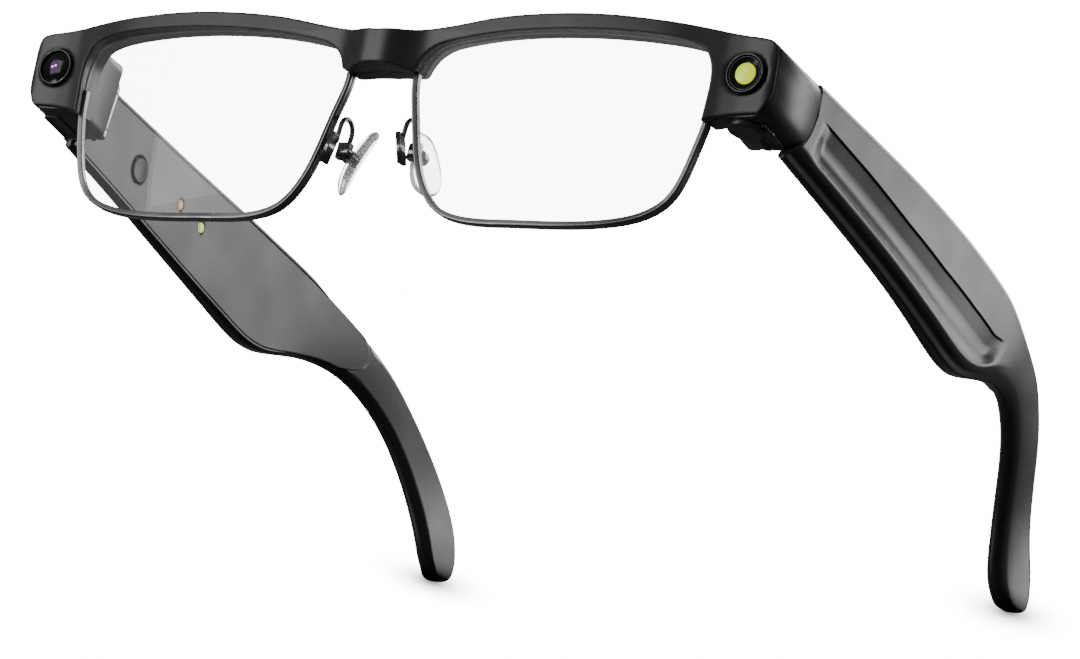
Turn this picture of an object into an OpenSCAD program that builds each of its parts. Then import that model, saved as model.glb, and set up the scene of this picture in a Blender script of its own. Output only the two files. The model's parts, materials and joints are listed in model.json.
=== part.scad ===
// Camera glasses: a plastic brow bar over metal half rims, with a camera and a
// lamp in the endpieces and electronics in two folding temples.
// Z = 0 is the table that the rims and the temple tips stand on, the wearer
// looks along -Y, and +X is the wearer's left.

/* [Front] */
// Distance from the centre line to the camera's and the lamp's axis
eye_x = 68.7; // [68.4:0.1:69]
// Height of the camera's and the lamp's axis above the table
eye_z = 28.7; // [28.3:0.1:29.1]
// Y position of the flat faces around the camera and the lamp
face_y = -74; // [-74.5:0.1:-73.5]
// Forward lean of the front, in degrees
lean = 9; // [8:0.5:10]
// Radius of the camera's outer ring
camera_r = 3.1; // [2.8:0.1:3.3]
// Radius of the lamp's outer ring
lamp_r = 3.3; // [3:0.1:3.4]

/* [Lenses] */
// Radius of the lens's spherical front surface
lens_r = 150; // [140:5:165]
// Thickness of the lens
lens_t = 2; // [1.8:0.1:2.2]
// Width of the metal rim, seen from the front
rim_w = 1.1; // [0.9:0.1:1.3]
// Turn of each lens around the face, in degrees
wrap = 3; // [2.5:0.5:4]

/* [Nose pads] */
// Length of a pad
pad_l = 13.4; // [12:0.2:14]
// Width of a pad
pad_w = 6.8; // [6:0.2:7.4]
// Radius of the pad arm's wire
wire_r = 0.45; // [0.4:0.05:0.5]

/* [Hinges] */
// Distance from the centre line to the hinge pin
hinge_x = 67; // [66.6:0.1:67.2]
// Y position of the hinge pin
hinge_y = -58.5; // [-58.8:0.1:-58.2]
// Radius of the hinge barrel
barrel_r = 1.3; // [1.2:0.05:1.4]
// Radius of the hinge pin
pin_r = 0.55; // [0.5:0.05:0.6]

/* [Temples] */
// Thickness of the temple shell's outer wall
shell_t = 0.9; // [0.8:0.1:1]
// Thickness of the temple's inner cover
cover_t = 0.8; // [0.7:0.1:0.9]
// Gap between the endpiece and the temple
seam_gap = 0.2; // [0.15:0.05:0.3]
// Radius of the power button
button_r = 2.3; // [2:0.1:2.5]
// Radius of a status light's window
light_r = 0.95; // [0.8:0.05:1]

/* [Hidden] */
$fn = 64;
LEFT = 1;
RIGHT = -1;
charcoal = [0.2, 0.2, 0.21];
graphite = [0.3, 0.3, 0.31];
gunmetal = [0.45, 0.46, 0.48];

// Brow bar, half of its outline in the leaning plane: [across, up] from the eye's height.
brow_top = [[0, 5.7], [4, 5.5], [8, 5.5], [13, 6.6], [18, 7.6], [26, 8.4], [36, 8.6], [46, 8.3],
    [56, 7.7], [64, 7.2], [70, 6.9]];
brow_end = [[70, 6.9], [72.6, 6.3], [73.9, 4.4], [74.1, 1.5], [74, -1.5], [73.8, -4.3], [73.2, -5.9],
    [71.6, -6.9]];
brow_foot = [[71.6, -6.9], [68, -7], [65, -7.7], [61.7, -8.9]];
brow_lip = [[61.7, -8.9], [61.8, -3.5], [61.7, 0.6], [61, 2.9], [59.4, 4.4], [57, 5.1], [51, 5.7],
    [44, 6], [35, 6], [26, 5.6], [19, 4.9], [14.5, 4.2], [10.5, 3], [8.7, 1.5], [7.7, -0.2], [7.3, -1.5]];
brow_arch = [[7.3, -1.5], [4.6, -1.4], [2.4, -1.1], [0, -1]];
// Depth of the brow's front face, as [across, depth]: the bridge stands forward.
brow_face = [[0, -7], [3, -6.5], [5.4, -5.2], [7.6, -4.2], [10, -3.9], [20, -4.4], [30, -4.8], [40, -4.6],
    [50, -3.7], [57, -2.6], [62, -1.1], [66, -0.5], [69, 0], [72, 0.9], [74.2, 2.4]];
// Outline of the metal rim's outer edge and of the lens top inside the brow.
rim_line = [[6.2, -1], [7.2, -7.9], [8.5, -13.1], [9.9, -18], [12.2, -22.8], [15.5, -26.3], [20.5, -28.1],
    [30, -28.6], [39.3, -28.5], [48.5, -27.6], [54.5, -25.8], [58.4, -22.8], [60.6, -18.3], [61.9, -13.3],
    [62.9, -8], [63.1, -3], [62.8, 1.5], [60.9, 4.9], [56.5, 6.3], [46, 7], [35, 7.1], [24, 6.5],
    [15, 5.3], [9.6, 3.5], [7, 1.4]];
// Temple side view, as [along, up]: the top edge, the tip and the bottom edge.
temple_top = [[-57.8, 35.5], [-42, 36.3], [-22, 37.2], [2, 37.8], [20, 37.7], [36, 36.5], [49, 33.8],
    [59.5, 28.4], [68, 21.6], [75.5, 14.4], [80.3, 8.8], [81.7, 4.6], [80.6, 1.7], [77.6, 0.3], [74.4, 0],
    [70.6, 0.8], [67.2, 3.4], [63.2, 8.6], [58, 14.6], [51.5, 20.2], [44, 23.4], [36, 24.2], [29, 22.9],
    [21, 19.8], [13.5, 17], [6, 16.2], [-2, 16.8], [-20, 18.1], [-40, 19.3], [-59.6, 19.8]];
// Temple seen from above, as [across, along]: the outer face and the inner face.
temple_out = [[74.2, -61], [74.3, -50], [75.2, -38], [75.8, -22], [76, -6], [75.9, 8], [75.2, 22],
    [73.8, 34], [71.6, 45], [68.7, 56], [65.8, 66], [64, 75], [63.5, 83]];
temple_in = [[59.5, 83], [59.4, 75], [60.4, 67], [62.4, 59.5], [64.9, 52], [67.2, 44], [69.2, 34],
    [70.3, 22], [71, 8], [71.4, -6], [71.6, -24], [71.3, -38], [70.9, -48], [70.5, -61]];
// Temple's front edge against the endpiece, as [along, up].
seam = [[-57.9, 37], [-57.4, 34], [-56.9, 31.4], [-57.1, 28], [-58, 25], [-59.9, 21.9], [-61, 19]];

end_z0 = 21.2;
end_z1 = 35.5;
board_x = 73.3;
board_t = 0.6;
button_pos = [71.3, -38.5, 27];
green_pos = [71.55, -15, 27.8];
amber_pos = [71.6, -23, 28.2];
contact_pos = [70, -46, 27];
barrel_z0 = 22.9;
barrel_h = 10.2;
knuckle_h = 1.7;
knuckle_gap = 0.1;
pin_clear = 0.05;
screw_pos = [71, -66];
boss_pos = [7.3, -69.3, 14.6];
arm_x = 6.5;
loop_r = 2;

// A smooth curve that runs through the points of p, with n steps a span.
function knot(p, i) = p[max(0, min(len(p) - 1, i))];
function blend(a, b, c, d, t) =
    0.5 * (2 * b + (c - a) * t + (2 * a - 5 * b + 4 * c - d) * t * t + (3 * b - a - 3 * c + d) * t * t * t);
function smooth(p, n = 4) = concat(
    [for (i = [0:len(p) - 2], k = [0:n - 1]) blend(knot(p, i - 1), p[i], p[i + 1], knot(p, i + 2), k / n)],
    [p[len(p) - 1]]);
function ring_knot(p, i) = p[(i + len(p)) % len(p)];
function smooth_ring(p, n = 4) = [for (i = [0:len(p) - 1], k = [0:n - 1])
    blend(ring_knot(p, i - 1), p[i], ring_knot(p, i + 1), ring_knot(p, i + 2), k / n)];
function flip(p) = [for (i = [len(p) - 1:-1:0]) [-p[i].x, p[i].y]];
function shift(p, d) = [for (q = p) q + d];
function most(p) = [for (i = [0:len(p) - 2]) p[i]];

half_brow = concat(most(smooth(brow_top)), most(smooth(brow_end)), most(smooth(brow_foot, 3)),
    most(smooth(brow_lip, 3)), smooth(brow_arch));
half_face = smooth(brow_face);
in_line = smooth(temple_in);

module on_side(side) {
    mirror([side < 0 ? 1 : 0, 0, 0]) children();
}

// The leaning plane of the front: X across, Y back, Z up, from between the two eyes.
module front_plane() {
    translate([0, face_y, eye_z]) rotate([lean, 0, 0]) children();
}

// A flat outline in the leaning plane, given depth from back0 to back1.
module slab(back0, back1) {
    translate([0, back1, 0]) rotate([90, 0, 0]) linear_extrude(back1 - back0) children();
}

// A temple side view, extruded across from x0 to x1.
module side_slab(x0, x1) {
    translate([x0, 0, 0]) rotate([90, 0, 90]) linear_extrude(x1 - x0) children();
}

module brow_outline() {
    polygon(concat(half_brow, most(flip(most(half_brow)))));
}

module lens_ball(radius) {
    translate([33.5 - lens_r * sin(wrap), lens_r * cos(wrap) - 3.6, -10.4]) sphere(radius, $fn = 320);
}

// What lies behind a sphere offset from both lens surfaces.
module behind(offset_r) {
    for (side = [LEFT, RIGHT]) on_side(side) lens_ball(lens_r + offset_r);
}

module brow_cover() {
    color(charcoal) front_plane() difference() {
        intersection() {
            slab(-12, 12) brow_outline();
            translate([0, 0, -12]) linear_extrude(24)
                polygon(concat(half_face, [[74.2, 12], [-74.2, 12]], flip(half_face)));
        }
        behind(0.1);
        eye_hole(RIGHT, camera_r);
        eye_hole(LEFT, lamp_r);
    }
}

module eye_hole(side, radius) {
    translate([side * eye_x, 5, 0]) rotate([90, 0, 0]) cylinder(14, radius, radius);
}

// The endpiece's outside, from the cover back to the temple.
module endpiece_block() {
    intersection() {
        side_slab(60, 76) polygon(concat([[-80, end_z0], [-80, end_z1]],
            shift(smooth(seam), [-seam_gap, 0]), [[-61, end_z0]]));
        translate([0, 0, end_z0]) linear_extrude(end_z1 - end_z0) {
            polygon([[64, -80], [74.1, -80], [74.2, -66], [74.2, -55], [72, -55], [72, -60.8],
                [64, -60.8]]);
            translate([66, -63.3]) circle(3);
        }
    }
}

module endpiece_cavity() {
    translate([65.2, -70, end_z0 + 1]) cube([7.8, 7.8, 12]);
    translate([68.6, -70, end_z0 - 1]) cube([5.1, 9, 2]);
    front_plane() eye_hole(LEFT, 2.7);
}

module hinge_slot() {
    translate([64.2, -61.6, barrel_z0]) cube([5.6, 1.4, barrel_h]);
}

module brow_frame() {
    color(graphite) difference() {
        union() {
            front_plane() intersection() {
                slab(-12, 12) brow_outline();
                difference() {
                    behind(0.1);
                    behind(-4.2);
                }
            }
            for (side = [LEFT, RIGHT]) on_side(side) intersection() {
                endpiece_block();
                front_plane() lens_ball(lens_r + 0.1);
            }
        }
        for (side = [LEFT, RIGHT]) on_side(side) {
            endpiece_cavity();
            hinge_slot();
            front_plane() lens_slot();
        }
        front_plane() flex_band(0.02);
        front_plane() eye_hole(RIGHT, camera_r);
        front_plane() eye_hole(LEFT, lamp_r);
    }
}

module lens_slot() {
    intersection() {
        slab(-12, 12) offset(delta = 0.05) polygon(smooth_ring(rim_line));
        difference() {
            lens_ball(lens_r + 0.5);
            lens_ball(lens_r - lens_t - 0.1);
        }
    }
}

// Flexible circuit along the top of the brow, between the two endpieces.
module flex_band(gap) {
    intersection() {
        slab(-12, 12) intersection() {
            difference() {
                offset(delta = gap - 0.45) brow_outline();
                translate([0, -0.75 - gap]) offset(delta = -0.45) brow_outline();
            }
            translate([-66, 2]) square([132, 8]);
        }
        difference() {
            behind(-1.2 + gap);
            behind(-1.7 - gap);
        }
    }
}

module brow_flex() {
    color("orange") front_plane() flex_band(0);
}

module endpiece_plate(side) {
    color(charcoal) on_side(side) difference() {
        translate([68.6, -70, end_z0]) cube([5.1, 9, 1]);
        translate([screw_pos.x, screw_pos.y, end_z0 - 1]) cylinder(3, 0.75, 0.75);
        translate([screw_pos.x, screw_pos.y, end_z0 - 1]) cylinder(1.5, 1.25, 1.25);
    }
}

module endpiece_screws() {
    color("silver") for (side = [LEFT, RIGHT]) on_side(side)
        translate([screw_pos.x, screw_pos.y, 0]) difference() {
            union() {
                translate([0, 0, end_z0 + 0.1]) cylinder(0.4, 1.2, 1.2);
                translate([0, 0, end_z0 + 0.3]) cylinder(2.6, 0.7, 0.7);
            }
            for (turn = [0, 90]) rotate([0, 0, turn])
                translate([-0.7, -0.12, end_z0]) cube([1.4, 0.24, 0.3]);
        }
}

module rim(side) {
    color(gunmetal) on_side(side) front_plane() difference() {
        intersection() {
            slab(-12, 12) difference() {
                polygon(smooth_ring(rim_line));
                offset(delta = -rim_w) polygon(smooth_ring(rim_line));
            }
            difference() {
                lens_ball(lens_r + 0.3);
                lens_ball(lens_r - lens_t - 0.3);
            }
        }
        slab(-12, 12) brow_outline();
        slab(-12, 12) translate([0, -1.2]) square([80, 20]);
    }
}

module lens(side) {
    color([0.9, 0.93, 0.95], 0.3) on_side(side) front_plane() intersection() {
        slab(-12, 12) offset(delta = -rim_w) polygon(smooth_ring(rim_line));
        difference() {
            lens_ball(lens_r);
            lens_ball(lens_r - lens_t);
        }
    }
}

// Bracket on the rim and the looped wire that carries the pad's box.
module pad_arm(side) {
    color(gunmetal) on_side(side) {
        translate([7.1, -74.9, 12.9]) rotate([9, -15, 0]) cube([0.8, 2.2, 5.6], center = true);
        translate([arm_x, -72.4 - loop_r, 14.2]) cylinder(3.4, wire_r, wire_r);
        translate([arm_x, -72.4, 17.6]) rotate([90, 0, 90]) rotate_extrude(angle = 180)
            translate([loop_r, 0]) circle(wire_r, $fn = 24);
        translate([arm_x, -72.4 + loop_r, 16]) cylinder(1.6, wire_r, wire_r);
    }
}

module pad_box(side) {
    color(gunmetal) on_side(side) difference() {
        translate([boss_pos.x - 1.5, -71.1, boss_pos.z - 1.4]) cube([2.6, 1.4, 2.8]);
        translate([boss_pos.x, -72, boss_pos.z]) rotate([-90, 0, 0]) cylinder(3, 0.5, 0.5);
    }
}

// Pivot pin and metal core of the pad.
module pad_boss(side) {
    color(gunmetal) on_side(side) translate(boss_pos) rotate([-90, 0, 0]) {
        translate([0, 0, -1.9]) cylinder(2, 0.42, 0.42);
        translate([0, 0, -0.05]) cylinder(2.2, 1.3, 1.3);
    }
}

module nose_pad(side) {
    color([0.95, 0.97, 1], 0.5) on_side(side) difference() {
        translate([boss_pos.x - 0.4, boss_pos.y + 3, boss_pos.z]) rotate([0, -19, 0]) rotate([0, 0, -28])
            rotate([0, -90, 0]) linear_extrude(1.8, center = true) hull() {
                translate([-pad_l / 2 + pad_w / 2 + 0.4, 0]) circle(pad_w / 2, $fn = 48);
                translate([pad_l / 2 - 2.3, 0]) circle(2.2, $fn = 48);
            }
        translate(boss_pos) rotate([-90, 0, 0]) translate([0, 0, -0.05]) cylinder(2.2, 1.3, 1.3);
    }
}

module eye_ring(side, radius, wall) {
    color(graphite) front_plane() translate([side * eye_x, 1.6, 0]) rotate([90, 0, 0]) difference() {
        cylinder(2.5, radius, radius);
        translate([0, 0, -1]) cylinder(5, radius - wall, radius - wall);
    }
}

module camera_ring() {
    eye_ring(RIGHT, camera_r, 0.45);
}

// Domed window over the camera, which fills the ring.
module camera_window() {
    color([0.05, 0.05, 0.06]) front_plane() translate([-eye_x, 1.6, 0]) rotate([90, 0, 0]) intersection() {
        cylinder(2.9, camera_r - 0.45, camera_r - 0.45);
        translate([0, 0, -6.2]) sphere(9, $fn = 96);
    }
}

module camera_module() {
    color("dimgray") front_plane() translate([-eye_x, 0, 0]) rotate([90, 0, 0]) {
        translate([0, 0, -6]) cylinder(4.3, 2.5, 2.5);
        translate([-3.4, -3.4, -8]) cube([6.8, 6.8, 2.1]);
    }
}

module lamp_ring() {
    eye_ring(LEFT, lamp_r, 0.4);
}

module lamp_window() {
    color([0.05, 0.05, 0.06]) front_plane() translate([eye_x, 1.6, 0]) rotate([90, 0, 0]) difference() {
        cylinder(2.1, lamp_r - 0.4, lamp_r - 0.4);
        cylinder(5, 1.65, 1.65);
    }
}

module lamp_emitter() {
    color([0.85, 0.9, 0.4]) front_plane() translate([eye_x, 1.6, 0]) rotate([90, 0, 0])
        cylinder(1.6, 1.65, 1.65);
}

module lamp_board() {
    color("darkgreen") front_plane() translate([eye_x, 3.2, 0]) rotate([90, 0, 0]) cylinder(0.8, 2.5, 2.5);
}

module knuckle(z0, height) {
    translate([hinge_x, hinge_y, z0]) difference() {
        children();
        translate([0, 0, -1]) cylinder(height + 2, pin_r + pin_clear, pin_r + pin_clear);
    }
}

module hinge_front(side) {
    color(gunmetal) on_side(side) {
        translate([64.3, -61.5, barrel_z0]) cube([5.4, 0.8, barrel_h]);
        for (z0 = [barrel_z0, barrel_z0 + barrel_h - knuckle_h]) knuckle(z0, knuckle_h) union() {
            cylinder(knuckle_h, barrel_r, barrel_r);
            translate([-1, -2.2, 0]) cube([2, 1.6, knuckle_h]);
        }
    }
}

module hinge_rear(side) {
    z0 = barrel_z0 + knuckle_h + knuckle_gap;
    height = barrel_h - 2 * (knuckle_h + knuckle_gap);
    color(gunmetal) on_side(side) {
        knuckle(z0, height) union() {
            cylinder(height, barrel_r, barrel_r);
            translate([0, 0.2, 0]) cube([3.6, 1.1, height]);
        }
        translate([70.2, -58.3, z0]) cube([0.8, 8.3, height]);
    }
}

module hinge_pin(side) {
    color("silver") on_side(side) translate([hinge_x, hinge_y, barrel_z0]) {
        translate([0, 0, 0.2]) cylinder(barrel_h - 0.2, pin_r, pin_r);
        translate([0, 0, barrel_h]) cylinder(0.5, 1.1, 1.1);
    }
}

module temple_blank() {
    intersection() {
        side_slab(56, 80) temple_side();
        translate([0, 0, -1]) linear_extrude(42) polygon(concat(smooth(temple_out), in_line));
    }
}

// Side view of the temple, cut along the seam.
module temple_side() {
    difference() {
        polygon(concat(smooth(temple_top), [[-62, 19.8], [-62, 35.5]]));
        polygon(concat([[-70, 10], [-70, 45], [-57.9, 45]], smooth(seam), [[-61, 10]]));
    }
}

// Side view of the inner cover: an inset of the temple with a round back end.
module cover_side() {
    offset(r = 2.5) offset(delta = -2.5) intersection() {
        offset(delta = -1) temple_side();
        union() {
            translate([-56, 10]) square([98, 40]);
            translate([42, 29.9]) circle(6);
        }
    }
}

module cover_band(inner, outer) {
    translate([0, 0, 10]) linear_extrude(40)
        polygon(concat(shift(in_line, [inner, 0]), [for (i = [len(in_line) - 1:-1:0]) in_line[i] + [outer, 0]]));
}

module hinge_pocket() {
    translate([68, -60, barrel_z0 + knuckle_h]) cube([3, 10, barrel_h - 2 * knuckle_h]);
}

module temple_shell(side) {
    color(charcoal) on_side(side) difference() {
        temple_blank();
        intersection() {
            side_slab(56, 80) cover_side();
            cover_band(-3, cover_t);
        }
        intersection() {
            side_slab(56, 80) offset(delta = -1) cover_side();
            translate([60, -54, 10]) cube([20, 80, 30]);
            translate([-shell_t, 0, -1]) linear_extrude(42) polygon(concat(smooth(temple_out), in_line));
        }
        hinge_pocket();
    }
}

module temple_cover(side) {
    color(graphite) on_side(side) difference() {
        intersection() {
            side_slab(56, 80) cover_side();
            cover_band(0, cover_t);
        }
        hinge_pocket();
        if (side == LEFT) contact_row(1);
        if (side == RIGHT) {
            translate(button_pos - [3, 0, 0]) rotate([0, 90, 0]) cylinder(6, button_r + 0.2, button_r + 0.2);
            for (pos = [green_pos, amber_pos])
                translate(pos - [3, 0, 0]) rotate([0, 90, 0]) cylinder(6, light_r, light_r);
        }
    }
}

module battery() {
    color("silver") translate([72.45, -34, 21.5]) cube([1.95, 42, 12.5]);
}

module main_board() {
    color("darkgreen") on_side(RIGHT) {
        translate([board_x, -42, 21.8]) cube([board_t, 54, 11.6]);
        translate([board_x - 0.7, -6, 23]) cube([0.7, 9, 9]);
    }
}

module power_switch() {
    color("silver") on_side(RIGHT) translate(button_pos + [1.65, -1.4, -1.4]) cube([0.35, 2.8, 2.8]);
}

module power_button() {
    color(charcoal) on_side(RIGHT) translate(button_pos) rotate([0, 90, 0]) {
        translate([0, 0, -0.5]) cylinder(1.45, button_r, button_r);
        translate([0, 0, 0.92]) cylinder(0.25, button_r + 0.6, button_r + 0.6);
    }
}

module status_light(pos, tint) {
    color(tint) on_side(RIGHT) translate(pos - [0.1, 0, 0]) rotate([0, 90, 0])
        cylinder(board_x - pos.x + 0.1, light_r, light_r);
}

// Four charging contacts, flush with the left temple's inner cover.
module contact_row(radius) {
    for (i = [0:3]) translate(contact_pos + [0, 2.6 * i, 0]) rotate([0, 90, 0]) cylinder(3, radius, radius);
}

module charge_contacts() {
    color("gold") intersection() {
        contact_row(0.95);
        cover_band(0, cover_t + 0.3);
    }
}

brow_cover();
brow_frame();
brow_flex();
endpiece_plate(LEFT);  // endpiece_plate_left
endpiece_plate(RIGHT);  // endpiece_plate_right
endpiece_screws();
rim(LEFT);  // rim_left
rim(RIGHT);  // rim_right
lens(LEFT);  // lens_left
lens(RIGHT);  // lens_right
pad_arm(LEFT);  // pad_arm_left
pad_arm(RIGHT);  // pad_arm_right
pad_box(LEFT);  // pad_box_left
pad_box(RIGHT);  // pad_box_right
nose_pad(LEFT);  // nose_pad_left
nose_pad(RIGHT);  // nose_pad_right
pad_boss(LEFT);  // pad_boss_left
pad_boss(RIGHT);  // pad_boss_right
camera_ring();
camera_window();
camera_module();
lamp_ring();
lamp_window();
lamp_emitter();
lamp_board();
hinge_front(LEFT);  // hinge_front_left
hinge_front(RIGHT);  // hinge_front_right
hinge_rear(LEFT);  // hinge_rear_left
hinge_rear(RIGHT);  // hinge_rear_right
hinge_pin(LEFT);  // hinge_pin_left
hinge_pin(RIGHT);  // hinge_pin_right
temple_shell(LEFT);  // temple_shell_left
temple_shell(RIGHT);  // temple_shell_right
temple_cover(LEFT);  // temple_cover_left
temple_cover(RIGHT);  // temple_cover_right
battery();
main_board();
power_button();
power_switch();
status_light(green_pos, "yellowgreen");  // status_light_green
status_light(amber_pos, "orange");  // status_light_amber
charge_contacts();
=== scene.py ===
# %% [markdown]
# Camera glasses: a plastic brow bar over two metal half rims, a camera and a lamp in the
# corners, and two wide temples that hold the electronics.
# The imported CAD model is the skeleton: it says where everything sits and how it moves.
# This lesson puts a smooth skin on it, one piece at a time, as surfaces worked out with numpy.

import json

import bpy
import numpy as np
from mathutils import Matrix, Vector


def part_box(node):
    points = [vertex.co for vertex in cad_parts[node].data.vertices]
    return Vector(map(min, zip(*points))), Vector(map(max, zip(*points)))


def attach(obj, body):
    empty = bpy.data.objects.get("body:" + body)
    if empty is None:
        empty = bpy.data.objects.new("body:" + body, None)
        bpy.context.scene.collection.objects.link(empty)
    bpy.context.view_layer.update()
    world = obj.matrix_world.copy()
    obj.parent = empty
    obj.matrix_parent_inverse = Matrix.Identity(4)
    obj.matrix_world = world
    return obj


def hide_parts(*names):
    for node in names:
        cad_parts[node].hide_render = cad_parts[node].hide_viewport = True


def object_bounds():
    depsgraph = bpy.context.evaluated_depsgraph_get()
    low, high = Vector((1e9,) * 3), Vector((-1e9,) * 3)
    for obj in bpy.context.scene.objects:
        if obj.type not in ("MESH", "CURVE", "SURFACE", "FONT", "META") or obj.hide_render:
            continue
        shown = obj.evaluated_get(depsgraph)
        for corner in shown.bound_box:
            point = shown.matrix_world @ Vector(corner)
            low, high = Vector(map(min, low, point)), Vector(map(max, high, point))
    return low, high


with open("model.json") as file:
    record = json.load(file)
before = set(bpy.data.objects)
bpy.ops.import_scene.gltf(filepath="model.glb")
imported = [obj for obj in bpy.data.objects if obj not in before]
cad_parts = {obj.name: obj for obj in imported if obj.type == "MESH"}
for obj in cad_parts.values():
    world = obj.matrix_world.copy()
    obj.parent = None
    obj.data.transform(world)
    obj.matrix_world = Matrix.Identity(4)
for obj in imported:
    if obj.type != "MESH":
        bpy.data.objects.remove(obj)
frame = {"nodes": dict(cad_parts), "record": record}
cad_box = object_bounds()
nodes = frame["nodes"]
MM = 0.001
SIDES = {"left": 1, "right": -1}

# %% [markdown]
# The camera looks up at the glasses from in front and below, with a long lens, so that
# parallel edges stay nearly parallel. A camera's matrix holds its right, up and back
# directions as columns, and its place as the last column.

# %% Camera
CAMERA_PLACE = (0.584961, -0.920508, -0.438746)
CAMERA_RIGHT = (0.867015, 0.431863, 0.248556)
CAMERA_UP = (-0.02716, -0.457126, 0.888987)
CAMERA_BACK = (0.497542, -0.777516, -0.384606)
LENS_LENGTH = 219.997

camera = bpy.data.objects.new("camera", bpy.data.cameras.new("camera"))
camera.data.sensor_fit = "HORIZONTAL"
camera.data.sensor_width = 36
camera.data.lens = LENS_LENGTH
turned = Matrix((CAMERA_RIGHT, CAMERA_UP, CAMERA_BACK)).transposed().to_4x4()
camera.matrix_world = Matrix.Translation(CAMERA_PLACE) @ turned
bpy.context.scene.collection.objects.link(camera)
bpy.context.scene.camera = camera
print("camera at", CAMERA_PLACE)

# %% [markdown]
# Every outline here is a few measured points with a smooth line through them. A cubic
# spline is the classic way: each stretch is a cubic, and slope and curvature agree where
# two stretches meet, so light runs over the finished surface without a kink.

# %% Splines
def spline(knots, values, at):
    """Cubic spline: solves for the bend at each knot, so that neighbouring cubics share slope and bend."""
    knots = np.asarray(knots, float)
    values = np.asarray(values, float).reshape(len(knots), -1)
    gap = np.diff(knots)
    slope = np.diff(values, axis=0) / gap[:, None]
    system = np.eye(len(knots))
    inner = np.arange(1, len(knots) - 1)
    system[inner, inner - 1] = gap[:-1]
    system[inner, inner] = 2 * (gap[:-1] + gap[1:])
    system[inner, inner + 1] = gap[1:]
    right = np.zeros_like(values)
    right[1:-1] = 6 * np.diff(slope, axis=0)
    bend = np.linalg.solve(system, right)
    at = np.asarray(at, float)
    span = np.clip(np.searchsorted(knots, at, "right") - 1, 0, len(gap) - 1)
    d = (at - knots[span])[:, None]
    g = gap[span][:, None]
    a, b = bend[span], bend[span + 1]
    start = slope[span] - g * (2 * a + b) / 6
    return values[span] + d * start + d ** 2 * a / 2 + d ** 3 * (b - a) / (6 * g)


def chord(points):
    """Length walked along the points, from 0 at the first."""
    steps = np.linalg.norm(np.diff(points, axis=0), axis=1)
    return np.concatenate([[0], np.cumsum(steps)])


def smooth_line(points, count, closed=False):
    """A spline through the points, walked in count equal steps of length."""
    points = np.asarray(points, float)
    if closed:
        lap = chord(np.vstack([points, points[:1]]))
        knots = np.concatenate([lap[:-1] - lap[-1], lap[:-1], lap[:-1] + lap[-1]])
        fine = np.linspace(0, lap[-1], 40 * len(points))
        points = np.tile(points, (3, 1))
    else:
        knots = chord(points)
        fine = np.linspace(0, knots[-1], 40 * len(points))
    walked = chord(spline(knots, points, fine))
    even = np.linspace(0, walked[-1], count + closed)[:count]
    return spline(knots, points, np.interp(even, walked, fine))


def fade(x, start, end):
    """Goes smoothly from 0 at start to 1 at end: 3t^2 - 2t^3."""
    t = np.clip((np.asarray(x, float) - start) / (end - start), 0, 1)
    return t * t * (3 - 2 * t)


def soft_polygon(corners, radii, steps=5):
    """Rounds each corner of closed polygons with a parabola that leaves its two edges at the radius.
    corners is (..., K, 2); a point is added just before and after each arc to keep the flats flat."""
    corners = np.asarray(corners, float)
    before = np.roll(corners, 1, axis=-2) - corners
    after = np.roll(corners, -1, axis=-2) - corners
    length0 = np.maximum(np.linalg.norm(before, axis=-1), 1e-6)
    length1 = np.maximum(np.linalg.norm(after, axis=-1), 1e-6)
    reach = np.minimum(np.broadcast_to(radii, length0.shape), 0.42 * np.minimum(length0, length1))
    start = before / length0[..., None] * reach[..., None]
    end = after / length1[..., None] * reach[..., None]
    t = np.linspace(0, 1, steps)
    bend0 = np.concatenate([[1.12], (1 - t) ** 2, [0]])
    bend1 = np.concatenate([[0], t ** 2, [1.12]])
    arcs = corners[..., None, :] + bend0[:, None] * start[..., None, :] + bend1[:, None] * end[..., None, :]
    return arcs.reshape(corners.shape[:-2] + (-1, 2))


print("a quarter turn in five steps:", soft_polygon([[0, 0], [4, 0], [4, 4], [0, 4]], 1).shape)

# %% [markdown]
# A mesh is points and faces. Two ways of closing a surface cover everything here.
# A wrapped surface is a grid whose columns run round a ring, closed at its two ends.
# A sheet is a flat grid lifted to a front and a back depth, with a wall wherever a face
# has no neighbour, so holes and outlines get their walls in the same way.

# %% Closed surfaces
def wrapped(grid, loop=False):
    """Rings of points, each joined to the next. loop joins the last ring to the first, and
    without it both ends get a middle point."""
    rows, cols = grid.shape[:2]
    index = np.arange(rows * cols).reshape(rows, cols)
    chain = np.vstack([index, index[:1]]) if loop else index
    a, d = chain[:-1], chain[1:]
    faces = np.stack([a, np.roll(a, -1, 1), np.roll(d, -1, 1), d], -1).reshape(-1, 4).tolist()
    points = grid.reshape(-1, 3)
    if not loop:
        first, last = rows * cols, rows * cols + 1
        points = np.vstack([points, grid[0].mean(0), grid[-1].mean(0)])
        faces += np.stack([np.roll(index[0], -1), index[0], np.full(cols, first)], 1).tolist()
        faces += np.stack([index[-1], np.roll(index[-1], -1), np.full(cols, last)], 1).tolist()
    return points, faces


def grid_quads(rows, cols):
    """The four corner numbers of each cell of a grid of points."""
    index = np.arange(rows * cols).reshape(rows, cols)
    return np.stack([index[:-1, :-1], index[1:, :-1], index[1:, 1:], index[:-1, 1:]], -1).reshape(-1, 4)


def open_edges(quads):
    """Edges that only one face uses, in that face's own direction."""
    edges = np.concatenate([quads[:, [i, (i + 1) % 4]] for i in range(4)])
    low, high = edges.min(1), edges.max(1)
    _, first, count = np.unique(low * (high.max() + 1) + high, return_index=True, return_counts=True)
    return edges[first[count == 1]]


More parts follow.
